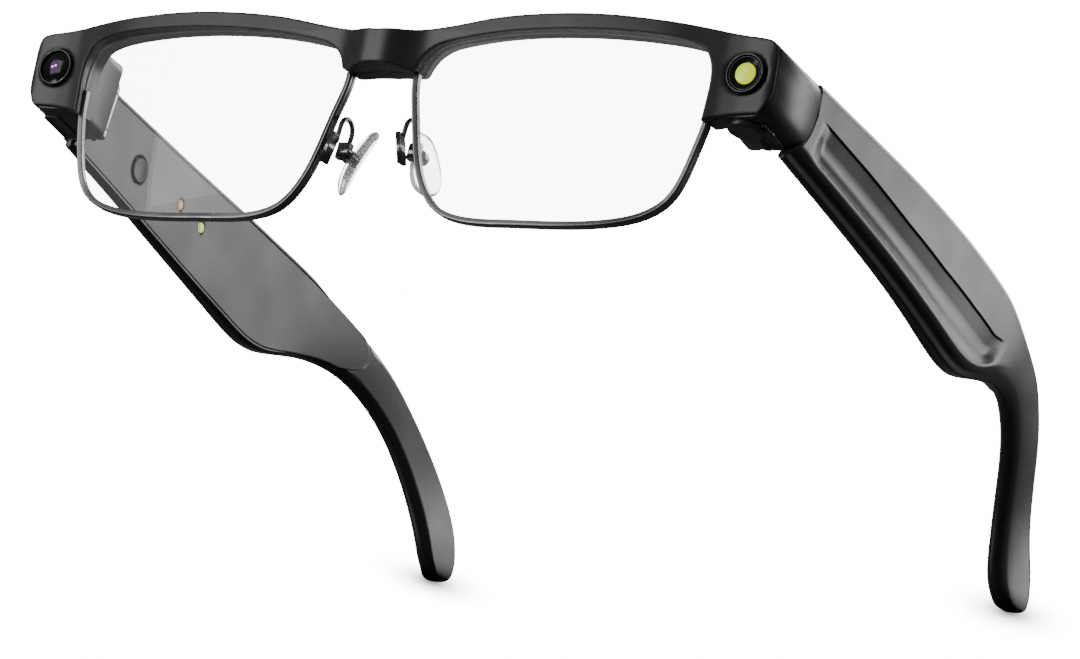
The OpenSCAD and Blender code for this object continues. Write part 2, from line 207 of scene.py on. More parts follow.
def edge_distance(points, starts, ends):
    """Distance from each flat point to the nearest of the edges."""
    best = np.full(len(points), np.inf)
    for some in np.array_split(np.arange(len(starts)), 12):
        step = ends[some] - starts[some]
        away = points[:, None] - starts[some]
        t = np.clip((away * step).sum(-1) / np.maximum((step ** 2).sum(-1), 1e-9), 0, 1)
        best = np.minimum(best, ((away - t[..., None] * step) ** 2).sum(-1).min(1))
    return np.sqrt(best)


def turned_in(gap, radius):
    """How far a quarter circle has fallen back at a distance of gap from the edge."""
    return radius - np.sqrt(np.clip(radius * radius - np.clip(radius - gap, 0, radius) ** 2, 0, None))


def sheet(flat, front, back, round_front, round_back, place, holes=()):
    """front and back give the depth over flat points; near an edge both turn in along a quarter circle.
    A hole (middle, radius) pushes the points inside it out to its circle, and drops the faces within."""
    rows, cols = flat.shape[:2]
    points = flat.reshape(-1, 2).copy()
    quads = grid_quads(rows, cols)
    for middle, radius in holes:
        away = points - middle
        far = np.linalg.norm(away, axis=1)
        inside = far < radius
        quads = quads[~inside[quads].all(1)]
        points[inside] += away[inside] * (radius / np.maximum(far[inside], 1e-6) - 1)[:, None]
    edges = open_edges(quads)
    gap = edge_distance(points, points[edges[:, 0]], points[edges[:, 1]])
    u, v = points.T
    near = place(u, front(u, v) + turned_in(gap, round_front), v)
    far = place(u, back(u, v) - turned_in(gap, round_back), v)
    wall = np.stack([edges[:, 1], edges[:, 0], edges[:, 0] + len(u), edges[:, 1] + len(u)], 1)
    faces = np.vstack([quads, quads[:, ::-1] + len(u), wall])
    return np.vstack([near, far]), faces.tolist()


def mirrored(part):
    """The same surface on the other side of the middle plane."""
    return part[0] * [-1, 1, 1], part[1]


def volume(points, faces):
    """Signed volume: every face as a fan of triangles with the origin."""
    total = 0.0
    for size in (3, 4):
        some = np.array([f for f in faces if len(f) == size], int).reshape(-1, size)
        for k in range(1, size - 1):
            a, b, c = points[some[:, 0]], points[some[:, k]], points[some[:, k + 1]]
            total += (a * np.cross(b, c)).sum() / 6
    return total


print("ready to close surfaces")

# %% [markdown]
# The front leans back a little, so its shapes are drawn in a leaning plane and then
# placed: u runs across, w back and v up from the line between camera and lamp.
# The lenses are shells cut from spheres, and the brow follows the same sphere.

# %% The leaning front plane
LEAN = np.radians(9)
FACE_Y = -74.0
EYE_Z = 28.7
EYE_X = 68.8
EYE_V = -0.25
LENS_R = 150.0
WRAP = np.radians(3)
BALL = np.array([33.5 - LENS_R * np.sin(WRAP), LENS_R * np.cos(WRAP) - 3.6, -10.4])


def lean(u, w, v):
    """Turns leaning-plane points by the lean about X, and moves them to the face."""
    y = FACE_Y + w * np.cos(LEAN) - v * np.sin(LEAN)
    z = EYE_Z + w * np.sin(LEAN) + v * np.cos(LEAN)
    return np.stack([u, y, z], -1)


def ball_depth(u, v, offset):
    """Depth of the sphere of radius LENS_R + offset that the lens belongs to, the same on both
    sides."""
    inside = (LENS_R + offset) ** 2 - (np.abs(u) - BALL[0]) ** 2 - (v - BALL[2]) ** 2
    return BALL[1] - np.sqrt(inside)


lamp_low, lamp_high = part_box("lamp_ring")
print("lamp axis by the CAD:", (lamp_low + lamp_high) / 2, "by this plane:", lean(EYE_X, 0.35, EYE_V) * MM)

# %% [markdown]
# A real surface is never one even colour. Three small shader groups give the variation
# that every finish here shares: a fine moulding grain, soft smudges from handling, and a
# slight rub on the edges. A group puts out values only, and each finish keeps its shader.

# %% Shared shader groups
def value_group(name, inputs, outputs):
    """An empty shader group with float inputs (name: default) and float outputs."""
    tree = bpy.data.node_groups.new(name, "ShaderNodeTree")
    for label, default in inputs.items():
        socket = tree.interface.new_socket(label, in_out="INPUT", socket_type="NodeSocketFloat")
        socket.default_value = default
    for label in outputs:
        tree.interface.new_socket(label, in_out="OUTPUT", socket_type="NodeSocketFloat")
    return tree, tree.nodes.new("NodeGroupInput"), tree.nodes.new("NodeGroupOutput")


def noise_node(tree, coordinate, detail):
    """Noise read at the object's own coordinates."""
    noise = tree.nodes.new("ShaderNodeTexNoise")
    noise.inputs["Detail"].default_value = detail
    tree.links.new(coordinate.outputs["Object"], noise.inputs["Vector"])
    return noise


def build_grain():
    """Grain: fine noise as a height, and slow noise as smudges from 0 to 1."""
    tree, come, go = value_group("grain", {"Size": 9000.0, "Smudge size": 90.0}, ["Height", "Smudge"])
    coordinate = tree.nodes.new("ShaderNodeTexCoord")
    fine = noise_node(tree, coordinate, 3)
    slow = noise_node(tree, coordinate, 5)
    tree.links.new(come.outputs["Size"], fine.inputs["Scale"])
    tree.links.new(come.outputs["Smudge size"], slow.inputs["Scale"])
    spread = tree.nodes.new("ShaderNodeMapRange")
    spread.inputs["From Min"].default_value = 0.35
    spread.inputs["From Max"].default_value = 0.65
    tree.links.new(slow.outputs["Fac"], spread.inputs["Value"])
    tree.links.new(fine.outputs["Fac"], go.inputs["Height"])
    tree.links.new(spread.outputs["Result"], go.inputs["Smudge"])
    return tree


def build_rub():
    """Rub: the mesh's own pointiness above a threshold, broken up with noise."""
    tree, come, go = value_group("edge_rub", {"Start": 0.52, "End": 0.62}, ["Rub"])
    shape = tree.nodes.new("ShaderNodeNewGeometry")
    pick = tree.nodes.new("ShaderNodeMapRange")
    tree.links.new(shape.outputs["Pointiness"], pick.inputs["Value"])
    tree.links.new(come.outputs["Start"], pick.inputs["From Min"])
    tree.links.new(come.outputs["End"], pick.inputs["From Max"])
    patchy = noise_node(tree, tree.nodes.new("ShaderNodeTexCoord"), 4)
    patchy.inputs["Scale"].default_value = 300
    times = tree.nodes.new("ShaderNodeMath")
    times.operation = "MULTIPLY"
    tree.links.new(pick.outputs["Result"], times.inputs[0])
    tree.links.new(patchy.outputs["Fac"], times.inputs[1])
    tree.links.new(times.outputs["Value"], go.inputs["Rub"])
    return tree


GRAIN = build_grain()
RUB = build_rub()
print("groups:", GRAIN.name, RUB.name)

# %% [markdown]
# A finish is a Principled shader fed by those groups. The smudges blend two close
# colours and two close roughnesses, the rub lightens the edges, and the grain is a bump.

# %% A finish
def place_group(material, tree, **values):
    """One use of a shared group, with this finish's own values."""
    node = material.node_tree.nodes.new("ShaderNodeGroup")
    node.node_tree = tree
    for label, value in values.items():
        node.inputs[label.replace("_", " ").capitalize()].default_value = value
    return node


def mix_colours(material, factor, first, second):
    """A colour that goes from first to second with the factor; either may be a socket."""
    mix = material.node_tree.nodes.new("ShaderNodeMix")
    mix.data_type = "RGBA"
    material.node_tree.links.new(factor, mix.inputs["Factor"])
    for socket, colour in ((mix.inputs["A"], first), (mix.inputs["B"], second)):
        if isinstance(colour, bpy.types.NodeSocket):
            material.node_tree.links.new(colour, socket)
        else:
            socket.default_value = (*colour, 1)
    return mix.outputs["Result"]


def finish(name, colour, second, rub, rough, grain=9000.0, bump=0.00001, smudge=90.0, **shader):
    """Principled shader: colour to second by smudge, towards rub at the edges, and roughness
    from rough[0] to rough[1]."""
    material = bpy.data.materials.new(name)
    material.use_nodes = True
    links = material.node_tree.links
    principled = material.node_tree.nodes["Principled BSDF"]
    grain_node = place_group(material, GRAIN, size=grain, smudge_size=smudge)
    rub_node = place_group(material, RUB)
    body = mix_colours(material, grain_node.outputs["Smudge"], colour, second)
    links.new(mix_colours(material, rub_node.outputs["Rub"], body, rub), principled.inputs["Base Color"])
    sheen = material.node_tree.nodes.new("ShaderNodeMapRange")
    sheen.inputs["To Min"].default_value, sheen.inputs["To Max"].default_value = rough
    links.new(grain_node.outputs["Smudge"], sheen.inputs["Value"])
    links.new(sheen.outputs["Result"], principled.inputs["Roughness"])
    bump_node = material.node_tree.nodes.new("ShaderNodeBump")
    bump_node.inputs["Strength"].default_value = 0.35
    bump_node.inputs["Distance"].default_value = bump
    links.new(grain_node.outputs["Height"], bump_node.inputs["Height"])
    links.new(bump_node.outputs["Normal"], principled.inputs["Normal"])
    for label, value in shader.items():
        principled.inputs[label.replace("_", " ")].default_value = value
    return material


GREY_RUB = (0.05, 0.05, 0.052)
DARK_RUB = (0.04, 0.04, 0.041)
METAL = {"grain": 4000.0, "bump": 0.000004, "Metallic": 1.0}
FINISH = {}
for name, colour, second, rub, rough, more in (
        ("brow_plastic", (0.016, 0.016, 0.017), (0.020, 0.020, 0.021), GREY_RUB, (0.36, 0.42), {}),
        ("frame_plastic", (0.020, 0.020, 0.021), (0.024, 0.024, 0.025), GREY_RUB, (0.30, 0.36), {}),
        ("temple_plastic", (0.013, 0.013, 0.014), (0.016, 0.016, 0.017), DARK_RUB, (0.28, 0.34), {}),
        ("cover_plastic", (0.017, 0.017, 0.018), (0.019, 0.019, 0.020), DARK_RUB, (0.30, 0.36), {}),
        ("rim_metal", (0.15, 0.15, 0.155), (0.19, 0.19, 0.195), (0.30, 0.30, 0.31), (0.24, 0.32), METAL),
        ("hinge_metal", (0.50, 0.50, 0.51), (0.58, 0.58, 0.59), (0.75, 0.75, 0.75), (0.24, 0.34), METAL),
        ("screw_metal", (0.05, 0.05, 0.05), (0.08, 0.08, 0.08), (0.3, 0.3, 0.3), (0.3, 0.4), METAL),
        ("ring_metal", (0.07, 0.07, 0.075), (0.09, 0.09, 0.095), (0.35, 0.35, 0.36), (0.26, 0.34),
         {**METAL, "grain": 5000.0}),
        ("black_gloss", (0.003, 0.003, 0.004), (0.005, 0.005, 0.006), (0.01, 0.01, 0.01), (0.10, 0.16),
         {"bump": 0.000002, "Specular_IOR_Level": 0.3}),
        ("circuit", (0.01, 0.07, 0.03), (0.02, 0.10, 0.04), (0.3, 0.25, 0.1), (0.35, 0.5), {}),
        ("flex", (0.35, 0.16, 0.03), (0.42, 0.20, 0.05), (0.5, 0.3, 0.1), (0.3, 0.4), {}),
        ("battery_foil", (0.50, 0.51, 0.52), (0.58, 0.58, 0.6), (0.7, 0.7, 0.7), (0.3, 0.42),
         {"Metallic": 0.6}),
        ("contact_gold", (0.75, 0.52, 0.2), (0.82, 0.6, 0.28), (0.9, 0.75, 0.4), (0.18, 0.26),
         {"Metallic": 1.0})):
    FINISH[name] = finish(name, colour, second, rub, rough, **more)
print("finishes:", sorted(FINISH))

# %% [markdown]
# The clear parts bend and tint light. The lens stays perfectly plain, with a trace of
# unevenness and a faint even white glow, a painted veil of reflection as in a bright room, while the silicone of
# the nose pads is a little milky. A shadow ray passes straight through, because a path tracer has trouble
# finding lights through glass.

# %% Clear finishes
def clear_finish(name, colour, second, rough, ior, shadow, through_share=1.0):
    """Principled transmission, and for shadow rays a tinted transparent shader."""
    material = finish(name, colour, second, second, rough, grain=2500.0, bump=0.0000005, smudge=40.0,
                      Transmission_Weight=through_share, IOR=ior)
    tree = material.node_tree
    through = tree.nodes.new("ShaderNodeBsdfTransparent")
    through.inputs["Color"].default_value = (*shadow, 1)
    path = tree.nodes.new("ShaderNodeLightPath")
    choose = tree.nodes.new("ShaderNodeMixShader")
    tree.links.new(path.outputs["Is Shadow Ray"], choose.inputs["Fac"])
    tree.links.new(tree.nodes["Principled BSDF"].outputs["BSDF"], choose.inputs[1])
    tree.links.new(through.outputs["BSDF"], choose.inputs[2])
    tree.links.new(choose.outputs["Shader"], tree.nodes["Material Output"].inputs["Surface"])
    return material


FINISH["lens_clear"] = clear_finish("lens_clear", (0.97, 0.975, 0.98), (0.985, 0.99, 0.99),
                                    (0.0, 0.01), 1.25, (0.93, 0.94, 0.95))
# Painted reflection: the lens glows faintly white, an even veil standing in for a bright room's reflections.
lens_painted_veil_shader = FINISH["lens_clear"].node_tree.nodes["Principled BSDF"]
lens_painted_veil_shader.inputs["Emission Color"].default_value = (1, 1, 1, 1)
lens_painted_veil_shader.inputs["Emission Strength"].default_value = 0.022
FINISH["pad_silicone"] = clear_finish("pad_silicone", (0.74, 0.75, 0.76), (0.82, 0.83, 0.84),
                                      (0.14, 0.24), 1.42, (0.8, 0.81, 0.82), 0.8)
print("clear finishes ready")

# %% [markdown]
# The lamp and the two status lights glow by themselves. The camera's coated lens and the two
# glints on it glow as well, as a painted reflection and painted highlights. Their colour comes from small
# cells, like the grains of phosphor or the facets of a moulded lens, so a light up close
# isn't an even disc.

# %% Glowing finishes
def glow_finish(name, colour, second, cells, strength, shine):
    """Cell noise blends the colours; the same pattern feeds the glow."""
    material = finish(name, colour, second, second, (0.12, 0.2), bump=0.00001, Specular_IOR_Level=shine,
                      Emission_Strength=strength)
    tree = material.node_tree
    coordinate = tree.nodes.new("ShaderNodeTexCoord")
    facets = tree.nodes.new("ShaderNodeTexVoronoi")
    facets.inputs["Scale"].default_value = cells
    tree.links.new(coordinate.outputs["Object"], facets.inputs["Vector"])
    tint = mix_colours(material, facets.outputs["Color"], colour, second)
    tree.links.new(tint, tree.nodes["Principled BSDF"].inputs["Emission Color"])
    tree.links.new(tint, tree.nodes["Principled BSDF"].inputs["Base Color"])
    return material


for name, colour, second, cells, strength, shine in (
        ("lamp_phosphor", (0.42, 0.58, 0.0), (0.72, 0.86, 0.03), 1300.0, 0.9, 0.35),
        ("light_green", (0.62, 0.85, 0.12), (0.80, 0.95, 0.30), 1800.0, 0.8, 0.35),
        ("light_amber", (0.75, 0.40, 0.16), (0.85, 0.55, 0.28), 1800.0, 0.35, 0.35),
        # Painted reflection: the camera's coated lens glows purple, and its two glints glow pink-white as painted
        # highlights.
        ("lens_coating", (0.02, 0.006, 0.03), (0.12, 0.03, 0.16), 2600.0, 0.9, 0.1),
        ("lens_glint", (0.85, 0.5, 0.9), (0.95, 0.75, 1.0), 9000.0, 1.6, 0.1)):
    FINISH[name] = glow_finish(name, colour, second, cells, strength, shine)
print("glowing finishes ready")

# %% [markdown]
# A piece is one mesh of one or more closed surfaces. It gets its finish from the slot of the record it shows,
# rides on a CAD body, and hides the CAD nodes it stands for.

# %% Making a piece
def make_piece(name, parts, body, slot, stands_for, look=None):
    """Joins the parts, turning each so that its volume is positive, which makes its faces
    look outwards. look names another finish than the slot's own."""
    points, faces, count = [], [], 0
    for part_points, part_faces in parts:
        if volume(part_points, part_faces) < 0:
            part_faces = [face[::-1] for face in part_faces]
        points.append(part_points)
        faces += [[corner + count for corner in face] for face in part_faces]
        count += len(part_points)
    mesh = bpy.data.meshes.new(name)
    mesh.from_pydata((np.vstack(points) * MM).tolist(), [], faces)
    mesh.validate()
    mesh.shade_smooth()
    mesh.materials.append(FINISH[look or slot])
    piece = bpy.data.objects.new(name, mesh)
    bpy.context.scene.collection.objects.link(piece)
    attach(piece, body)
    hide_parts(*stands_for)
    print(name, "has", len(mesh.polygons), "faces")
    return piece


# %% [markdown]
# The brow cover is a long strip: a narrow bar over the lenses, a wide bridge, and tall
# corners that carry the camera and the lamp. Stations pair a point on its lower edge with
# one on its upper edge, so one grid flows from foot to foot through the bridge. Its front
# depth is a curve across the face that meets the flat round each eye in a soft crease.

# %% Brow strip
BROW_KEYS = np.array([
    [0, -1, 0, 5.05], [2.4, -1.1, 2.6, 5.2], [4.6, -1.35, 5, 5.45], [6.5, -1.55, 7, 5.8],
    [7.35, -1.2, 8.2, 6.0], [7.75, -0.2, 9.2, 6.15], [8.7, 1.5, 10.8, 6.42], [10.5, 3, 12.6, 6.72],
    [14.5, 4.2, 16, 7.3], [19, 4.9, 20, 7.95], [26, 5.6, 27, 8.6], [35, 6, 36, 8.95],
    [44, 6, 45, 8.8], [51, 5.7, 53, 8.24], [57, 5.1, 60.5, 7.54], [59.8, 4.4, 65.3, 6.94],
    [61.5, 2.9, 70.3, 6.34], [62.3, 0.9, 72.8, 5.75], [62.6, -1.5, 73.9, 3.9], [62.55, -4, 74.05, 0],
    [62.4, -6.5, 73.8, -4.5], [62.25, -8.75, 72.3, -7.15]])
BROW_FACE = np.array([
    [-3, -6.6], [0, -7], [3, -6.6], [5.4, -5.2], [7.6, -4.2], [10, -3.9], [20, -4.4], [30, -4.8], [40, -4.6],
    [50, -3.7], [56, -2.77], [60, -1.69], [64, -0.61], [68, 0.47]])
CREASE = 64.6
FOOT_RISE = 0.45


def brow_grid(inset, columns=26):
    """Stations from foot to foot; across each, points crowd towards both edges. inset narrows the strip."""
    half = BROW_KEYS.reshape(-1, 2, 2)
    knots = chord(half.mean(1))
    turn = 1 - np.cos(np.linspace(0, np.pi / 2, 6))
    along = np.concatenate([np.linspace(0, knots[-1] - 0.6, 230), knots[-1] - 0.5 * turn[::-1]])
    low, high = spline(knots, BROW_KEYS, along).reshape(-1, 2, 2).transpose(1, 0, 2)
    width = np.linalg.norm(high - low, axis=1)[:, None]
    share0 = (inset + 0.5 * turn)[None] / width
    middle = np.linspace(0, 1, columns - 10)[None, 1:-1]
    inner = share0[:, -1:] + middle * (1 - 2 * share0[:, -1:])
    share = np.concatenate([share0, inner, 1 - share0[:, ::-1]], 1)
    grid = low[:, None] + share[..., None] * (high - low)[:, None]
    rise = fade(along, knots[-4], knots[-1])[:, None] * FOOT_RISE * np.sin(np.pi * share)
    grid[..., 1] += rise + inset * fade(along, knots[-2], knots[-1])[:, None]
    return np.concatenate([grid[:0:-1] * [-1, 1], grid])


def brow_depth(u, v):
    """Front depth: the curve across the face meets the flat round the eye in a crease, and the
    outer edge rolls back."""
    across = np.abs(u)
    curve = spline(BROW_FACE[:, 0], BROW_FACE[:, 1], np.minimum(across, 66))[:, 0]
    flat = 0.11 * (across - CREASE) - 0.45 + 9 * fade(across, 56, 46)
    depth = (curve + flat - np.sqrt((curve - flat) ** 2 + 0.004)) / 2
    roll = 0.45 * np.clip((across - 72.7) / 1.4, 0, 1) ** 2
    tilt = 0.10 * np.clip(v - 5.5, 0, 4) * fade(across, 63, 57) * fade(across, 8, 14)
    return depth + roll + tilt


def rear_depth(u, v):
    """Where the cover ends: on the sphere over the lenses, and close behind its front round the eyes."""
    over_lens = ball_depth(u, v, 0.1)
    round_eye = brow_depth(u, v) + 0.6
    share = fade(np.abs(u), 63.0, 64.6)
    return over_lens * (1 - share) + round_eye * share


cover_part = sheet(brow_grid(0.0), brow_depth, lambda u, v: rear_depth(u, v) - 0.05, 0.4, 0.12, lean,
                   holes=[((EYE_X, EYE_V), 3.56), ((-EYE_X, EYE_V), 3.36)])
make_piece("brow_cover_smooth", [cover_part], "front", "brow_plastic", ["brow_cover"])

# %% [markdown]
# Behind the cover runs the frame that holds the lenses. It is the same strip, a little
# narrower and following the sphere, so a fine dark line shows between the two.
# The housings behind the camera and the lamp reach back to the temples, and the round end
# of the lamp's seat shows under the left one.

# %% Brow frame
SEAM = np.array([[-57.9, 37], [-57.4, 34], [-56.9, 31.4], [-57.1, 28], [-58, 25], [-59.9, 21.9], [-61, 19]])


def seam_y(z):
    """Y of the joint between endpiece and temple at height z."""
    return spline(SEAM[::-1, 1], SEAM[::-1, 0], np.asarray(z).ravel())[:, 0].reshape(np.shape(z))


def patch(bottom, top, inner, outer):
    """A grid between four border lines: Coons' blend of the opposite pairs less the corners."""
    s = np.linspace(0, 1, len(bottom))[:, None, None]
    t = np.linspace(0, 1, len(inner))[None, :, None]
    rails = (1 - t) * bottom[:, None] + t * top[:, None]
    ends = (1 - s) * inner[None] + s * outer[None]
    corners = (1 - s) * ((1 - t) * inner[0] + t * inner[-1]) + s * ((1 - t) * outer[0] + t * outer[-1])
    return rails + ends - corners


def crowd(count, near, length):
    """Even steps from 0 to 1, with extra points that crowd within near of both ends."""
    turn = near * (1 - np.cos(np.linspace(0, np.pi / 2, 5))) / length
    return np.concatenate([turn, np.linspace(turn[-1], 1 - turn[-1], count)[1:-1], 1 - turn[::-1]])


def on_line(points, share):
    """Points of a smooth line at the given shares of its length."""
    line = smooth_line(points, 400)
    walked = chord(line)
    return np.stack([np.interp(share * walked[-1], walked, line[:, k]) for k in (0, 1)], 1)


def housing(side):
    """The endpiece's block, drawn as a front view and given depth from the cover to the temple."""
    across, up = crowd(34, 0.3, 10), crowd(34, 0.3, 14)
    outline = patch(on_line([[65.0, 21.35], [69, 21.25], [71.2, 21.4]], across),
                    on_line([[65.3, 35.2], [69, 34.85], [73.1, 34.3]], across),
                    on_line([[65.0, 21.35], [64.35, 21.9], [64.1, 23.2], [64.1, 28], [64.1, 33], [64.4, 34.6],
                             [65.3, 35.2]], up),
                    on_line([[71.2, 21.4], [72.6, 22.0], [73.6, 23.2], [74.03, 24.9], [74.12, 28.5],
                             [74.12, 31], [74.12, 32.9], [74.02, 33.35], [73.55, 33.85], [73.1, 34.3]], up))

    def front(x, z):
        height = (z - EYE_Z) / np.cos(LEAN)
        for _ in range(4):
            depth = rear_depth(x, height) + 0.07
            height = (z - EYE_Z - depth * np.sin(LEAN)) / np.cos(LEAN)
        return FACE_Y + depth * np.cos(LEAN) - height * np.sin(LEAN)

    def back(x, z):
        boss = np.sqrt(np.clip(9 - (x - 66) ** 2, 0, None)) - 63.3
        return np.maximum(-60.8, boss) * (1 - fade(x, 71.9, 72.1)) + (seam_y(z) - 0.06) * fade(x, 71.9, 72.1)

    def place(x, y, z):
        rise = 1.3 * np.clip((z - 28) / 7, 0, 1) * fade(y, -73, -56)
        return np.stack([x, y, z + rise], -1)

    block = sheet(outline, front, back, 0.1, 0.15, place)
    return block if side > 0 else mirrored(block)


def frame_back(u, v):
    """Back of the lens frame: a deep channel over the lenses, a thin web where the housing takes over."""
    share = fade(np.abs(u), 64.0, 67.0)
    return ball_depth(u, v, -4.2) * (1 - share) + (rear_depth(u, v) + 1.6) * share


SEAT = (68.1, -68.4)
round_over = np.linspace(0.2, np.pi / 2, 6)
seat_r = np.concatenate([[0.05], np.linspace(0.6, 2.6, 8), 2.6 + 0.6 * np.sin(round_over), [3.2]])[:, None]
seat_z = np.concatenate([np.full(9, 20.3), 20.9 - 0.6 * np.cos(round_over), [22.0]])[:, None]
seat_turn = (np.arange(64) * 2 * np.pi / 64)[None]
seat_ring = [SEAT[0] + seat_r * np.cos(seat_turn), seat_r * np.sin(seat_turn) + SEAT[1], np.repeat(seat_z, 64, 1)]
lamp_seat = wrapped(np.stack(seat_ring, -1))
frame_part = sheet(brow_grid(0.12), lambda u, v: rear_depth(u, v) + 0.07, frame_back, 0.8, 0.5, lean)
make_piece("brow_frame_smooth", [frame_part, housing(1), housing(-1), lamp_seat], "front", "frame_plastic",
           ["brow_frame"])

# %% [markdown]
# A flexible circuit joins the camera and the lamp inside the brow. It is drawn a little
# slimmer and lower than its place in the frame, so that it stays hidden under the surface.

# %% Brow circuit
circuit_u = np.linspace(-62, 62, 240)
circuit_top = np.interp(np.abs(circuit_u), BROW_KEYS[:, 2], BROW_KEYS[:, 3]) - 1.3
circuit_v = circuit_top[:, None] - np.linspace(0.7, 0, 12)
circuit_grid = np.stack([np.repeat(circuit_u[:, None], 12, 1), circuit_v], -1)
circuit = sheet(circuit_grid, lambda u, v: ball_depth(u, v, -1.2), lambda u, v: ball_depth(u, v, -1.6),
                0.1, 0.1, lean)
make_piece("brow_circuit", [circuit], "front", "flex", ["brow_flex"])

# %% [markdown]
# The metal half rims are thin channels that hold the lens from below. Each is one section
# with a fine groove, carried along the lens's outline and tilted with the sphere.

# %% Rims
RIM_LINE = np.array([
    [6.2, -1], [7.2, -7.9], [8.5, -13.1], [9.9, -18], [12.2, -22.8], [15.5, -26.3], [20.5, -28.1], [30, -28.6],
    [39.3, -28.5], [48.5, -27.6], [54.5, -25.8], [58.4, -22.8], [60.6, -18.3], [61.9, -13.3], [62.9, -8],
    [63.1, -3], [62.8, 1.5], [60.9, 4.9], [56.5, 6.3], [46, 7], [35, 7.1], [24, 6.5], [15, 5.3], [9.6, 3.5],
    [7, 1.4]])
RIM_WIDE = 1.1


def outward(line):
    """Unit normals of a closed flat line that runs anticlockwise, pointing out of it."""
    along = np.roll(line, -1, 0) - np.roll(line, 1, 0)
    along /= np.linalg.norm(along, axis=1)[:, None]
    return np.stack([along[:, 1], -along[:, 0]], 1)


lens_line = smooth_line(RIM_LINE, 420, closed=True)
lens_out = outward(lens_line)


def rim(side):
    """Section corners are (outwards, back); each ring sits on the sphere at its own point."""
    held = (lens_line[:, 1] < -1.3) & (np.arange(len(lens_line)) < 300)
    held &= ~((lens_line[:, 0] > 60) & (lens_line[:, 1] > -4))
    line, out = lens_line[held], lens_out[held]
    section = soft_polygon([[-RIM_WIDE, 0.1], [-0.25, -0.1], [0, 0.15], [0, 0.7], [-0.16, 0.84], [0, 0.98],
                            [0, 1.7], [-0.2, 1.92], [-RIM_WIDE, 1.9]],
                           [0.15, 0.2, 0.15, 0.06, 0.06, 0.06, 0.2, 0.2, 0.15], 4)
    flat = line[:, None] + out[:, None] * section[None, :, :1]
    u, v = flat[..., 0], flat[..., 1]
    depth = ball_depth(line[:, 0], line[:, 1], 0.3)[:, None] + section[None, :, 1]
    part = wrapped(lean(u, depth, v))
    return part if side > 0 else mirrored(part)


for label, side in SIDES.items():
    make_piece("rim_smooth_" + label, [rim(side)], "front", "rim_metal", ["rim_" + label])

# %% [markdown]
# A lens is a slice of a spherical shell. Rings shrink from its edge to its middle on the
# front, and grow again on the back, so the two poles close it.

# %% Lenses
def lens(side):
    """Rings scaled towards the middle; front depth on the outer sphere, back depth on the inner one."""
    outer_side = fade(lens_line[:, 1], -9, -5) * (lens_line[:, 0] > 30)
    held_by_brow = np.maximum(outer_side, fade(lens_line[:, 1], -2, 1))
    tucked = 1.05 * held_by_brow - 0.75
    edge = lens_line + lens_out * tucked[:, None]
    middle = np.array([34.0, -10.8])
    shrink = np.concatenate([np.linspace(0.02, 0.97, 22), [0.985, 0.995, 1.0]])
    rings = middle + (edge[None] - middle) * shrink[:, None, None]
    u, v = rings[..., 0], rings[..., 1]
    front = lean(u, ball_depth(u, v, 0.0), v)
    back = lean(u, ball_depth(u, v, -1.5), v)
    part = wrapped(np.concatenate([front, back[::-1]]))
    return part if side > 0 else mirrored(part)


for label, side in SIDES.items():
    make_piece("lens_smooth_" + label, [lens(side)], "front", "lens_clear", ["lens_" + label])

# %% [markdown]
# Camera and lamp are turned parts: a profile of (radius, depth) spun about the axis that
# leaves the face squarely. The rings stand a little proud, the camera's window is a dark
# dome with a coated lens in its middle that glows faintly purple as a painted reflection,
# with two tiny glowing domes on it as painted glints, and the lamp's bezel lies nearly level with the
# glowing disc.

# %% Camera and lamp
def spun(profile, middle, closed=True, steps=96):
    """Spins (radius, depth) about the leaning plane's depth axis; a closed profile makes a ring."""
    profile = np.asarray(profile, float)
    angle = np.arange(steps) * 2 * np.pi / steps
    u = middle[0] + profile[:, :1] * np.cos(angle)
    v = middle[1] + profile[:, :1] * np.sin(angle)
    w = np.repeat(profile[:, 1:], steps, 1)
    grid = lean(u, w, v)
    return wrapped(grid.transpose(1, 0, 2), loop=True) if closed else wrapped(grid)


def ring(middle, radius, wall):
    """A ring with a rounded crest and a small inner chamfer."""
    corners = [[radius, 1.4], [radius, -0.6], [radius - 0.1, -0.78], [radius - wall + 0.08, -0.78],
               [radius - wall, -0.6], [radius - wall, 1.4]]
    return spun(soft_polygon(corners, [0.1, 0.1, 0.08, 0.08, 0.1, 0.1], 5), middle)


make_piece("camera_ring_smooth", [ring((-EYE_X, EYE_V), 3.28, 0.32)], "front", "ring_metal", ["camera_ring"])
make_piece("lamp_ring_smooth", [ring((EYE_X, EYE_V), 3.48, 0.32)], "front", "ring_metal", ["lamp_ring"])

dome_r = np.linspace(0.05, 2.94, 30)
dome = np.stack([dome_r, 0.075 * dome_r ** 2 - 0.95], 1)
window = np.vstack([dome, [[2.94, 1.5], [0.05, 1.5]]])
make_piece("camera_window_smooth", [spun(window, (-EYE_X, EYE_V), closed=False)], "front", "black_gloss",
           ["camera_window"])
# The coated inner lens glows faintly purple: a painted reflection of its coating.
inner_r = np.linspace(0.03, 0.95, 14)
inner_lens = np.vstack([np.stack([inner_r, 0.11 * inner_r ** 2 - 1.0], 1), [[0.95, -0.6], [0.03, -0.6]]])
make_piece("camera_inner_lens", [spun(inner_lens, (-EYE_X, EYE_V), closed=False)], "front", "black_gloss",
           ["camera_window"], look="lens_coating")
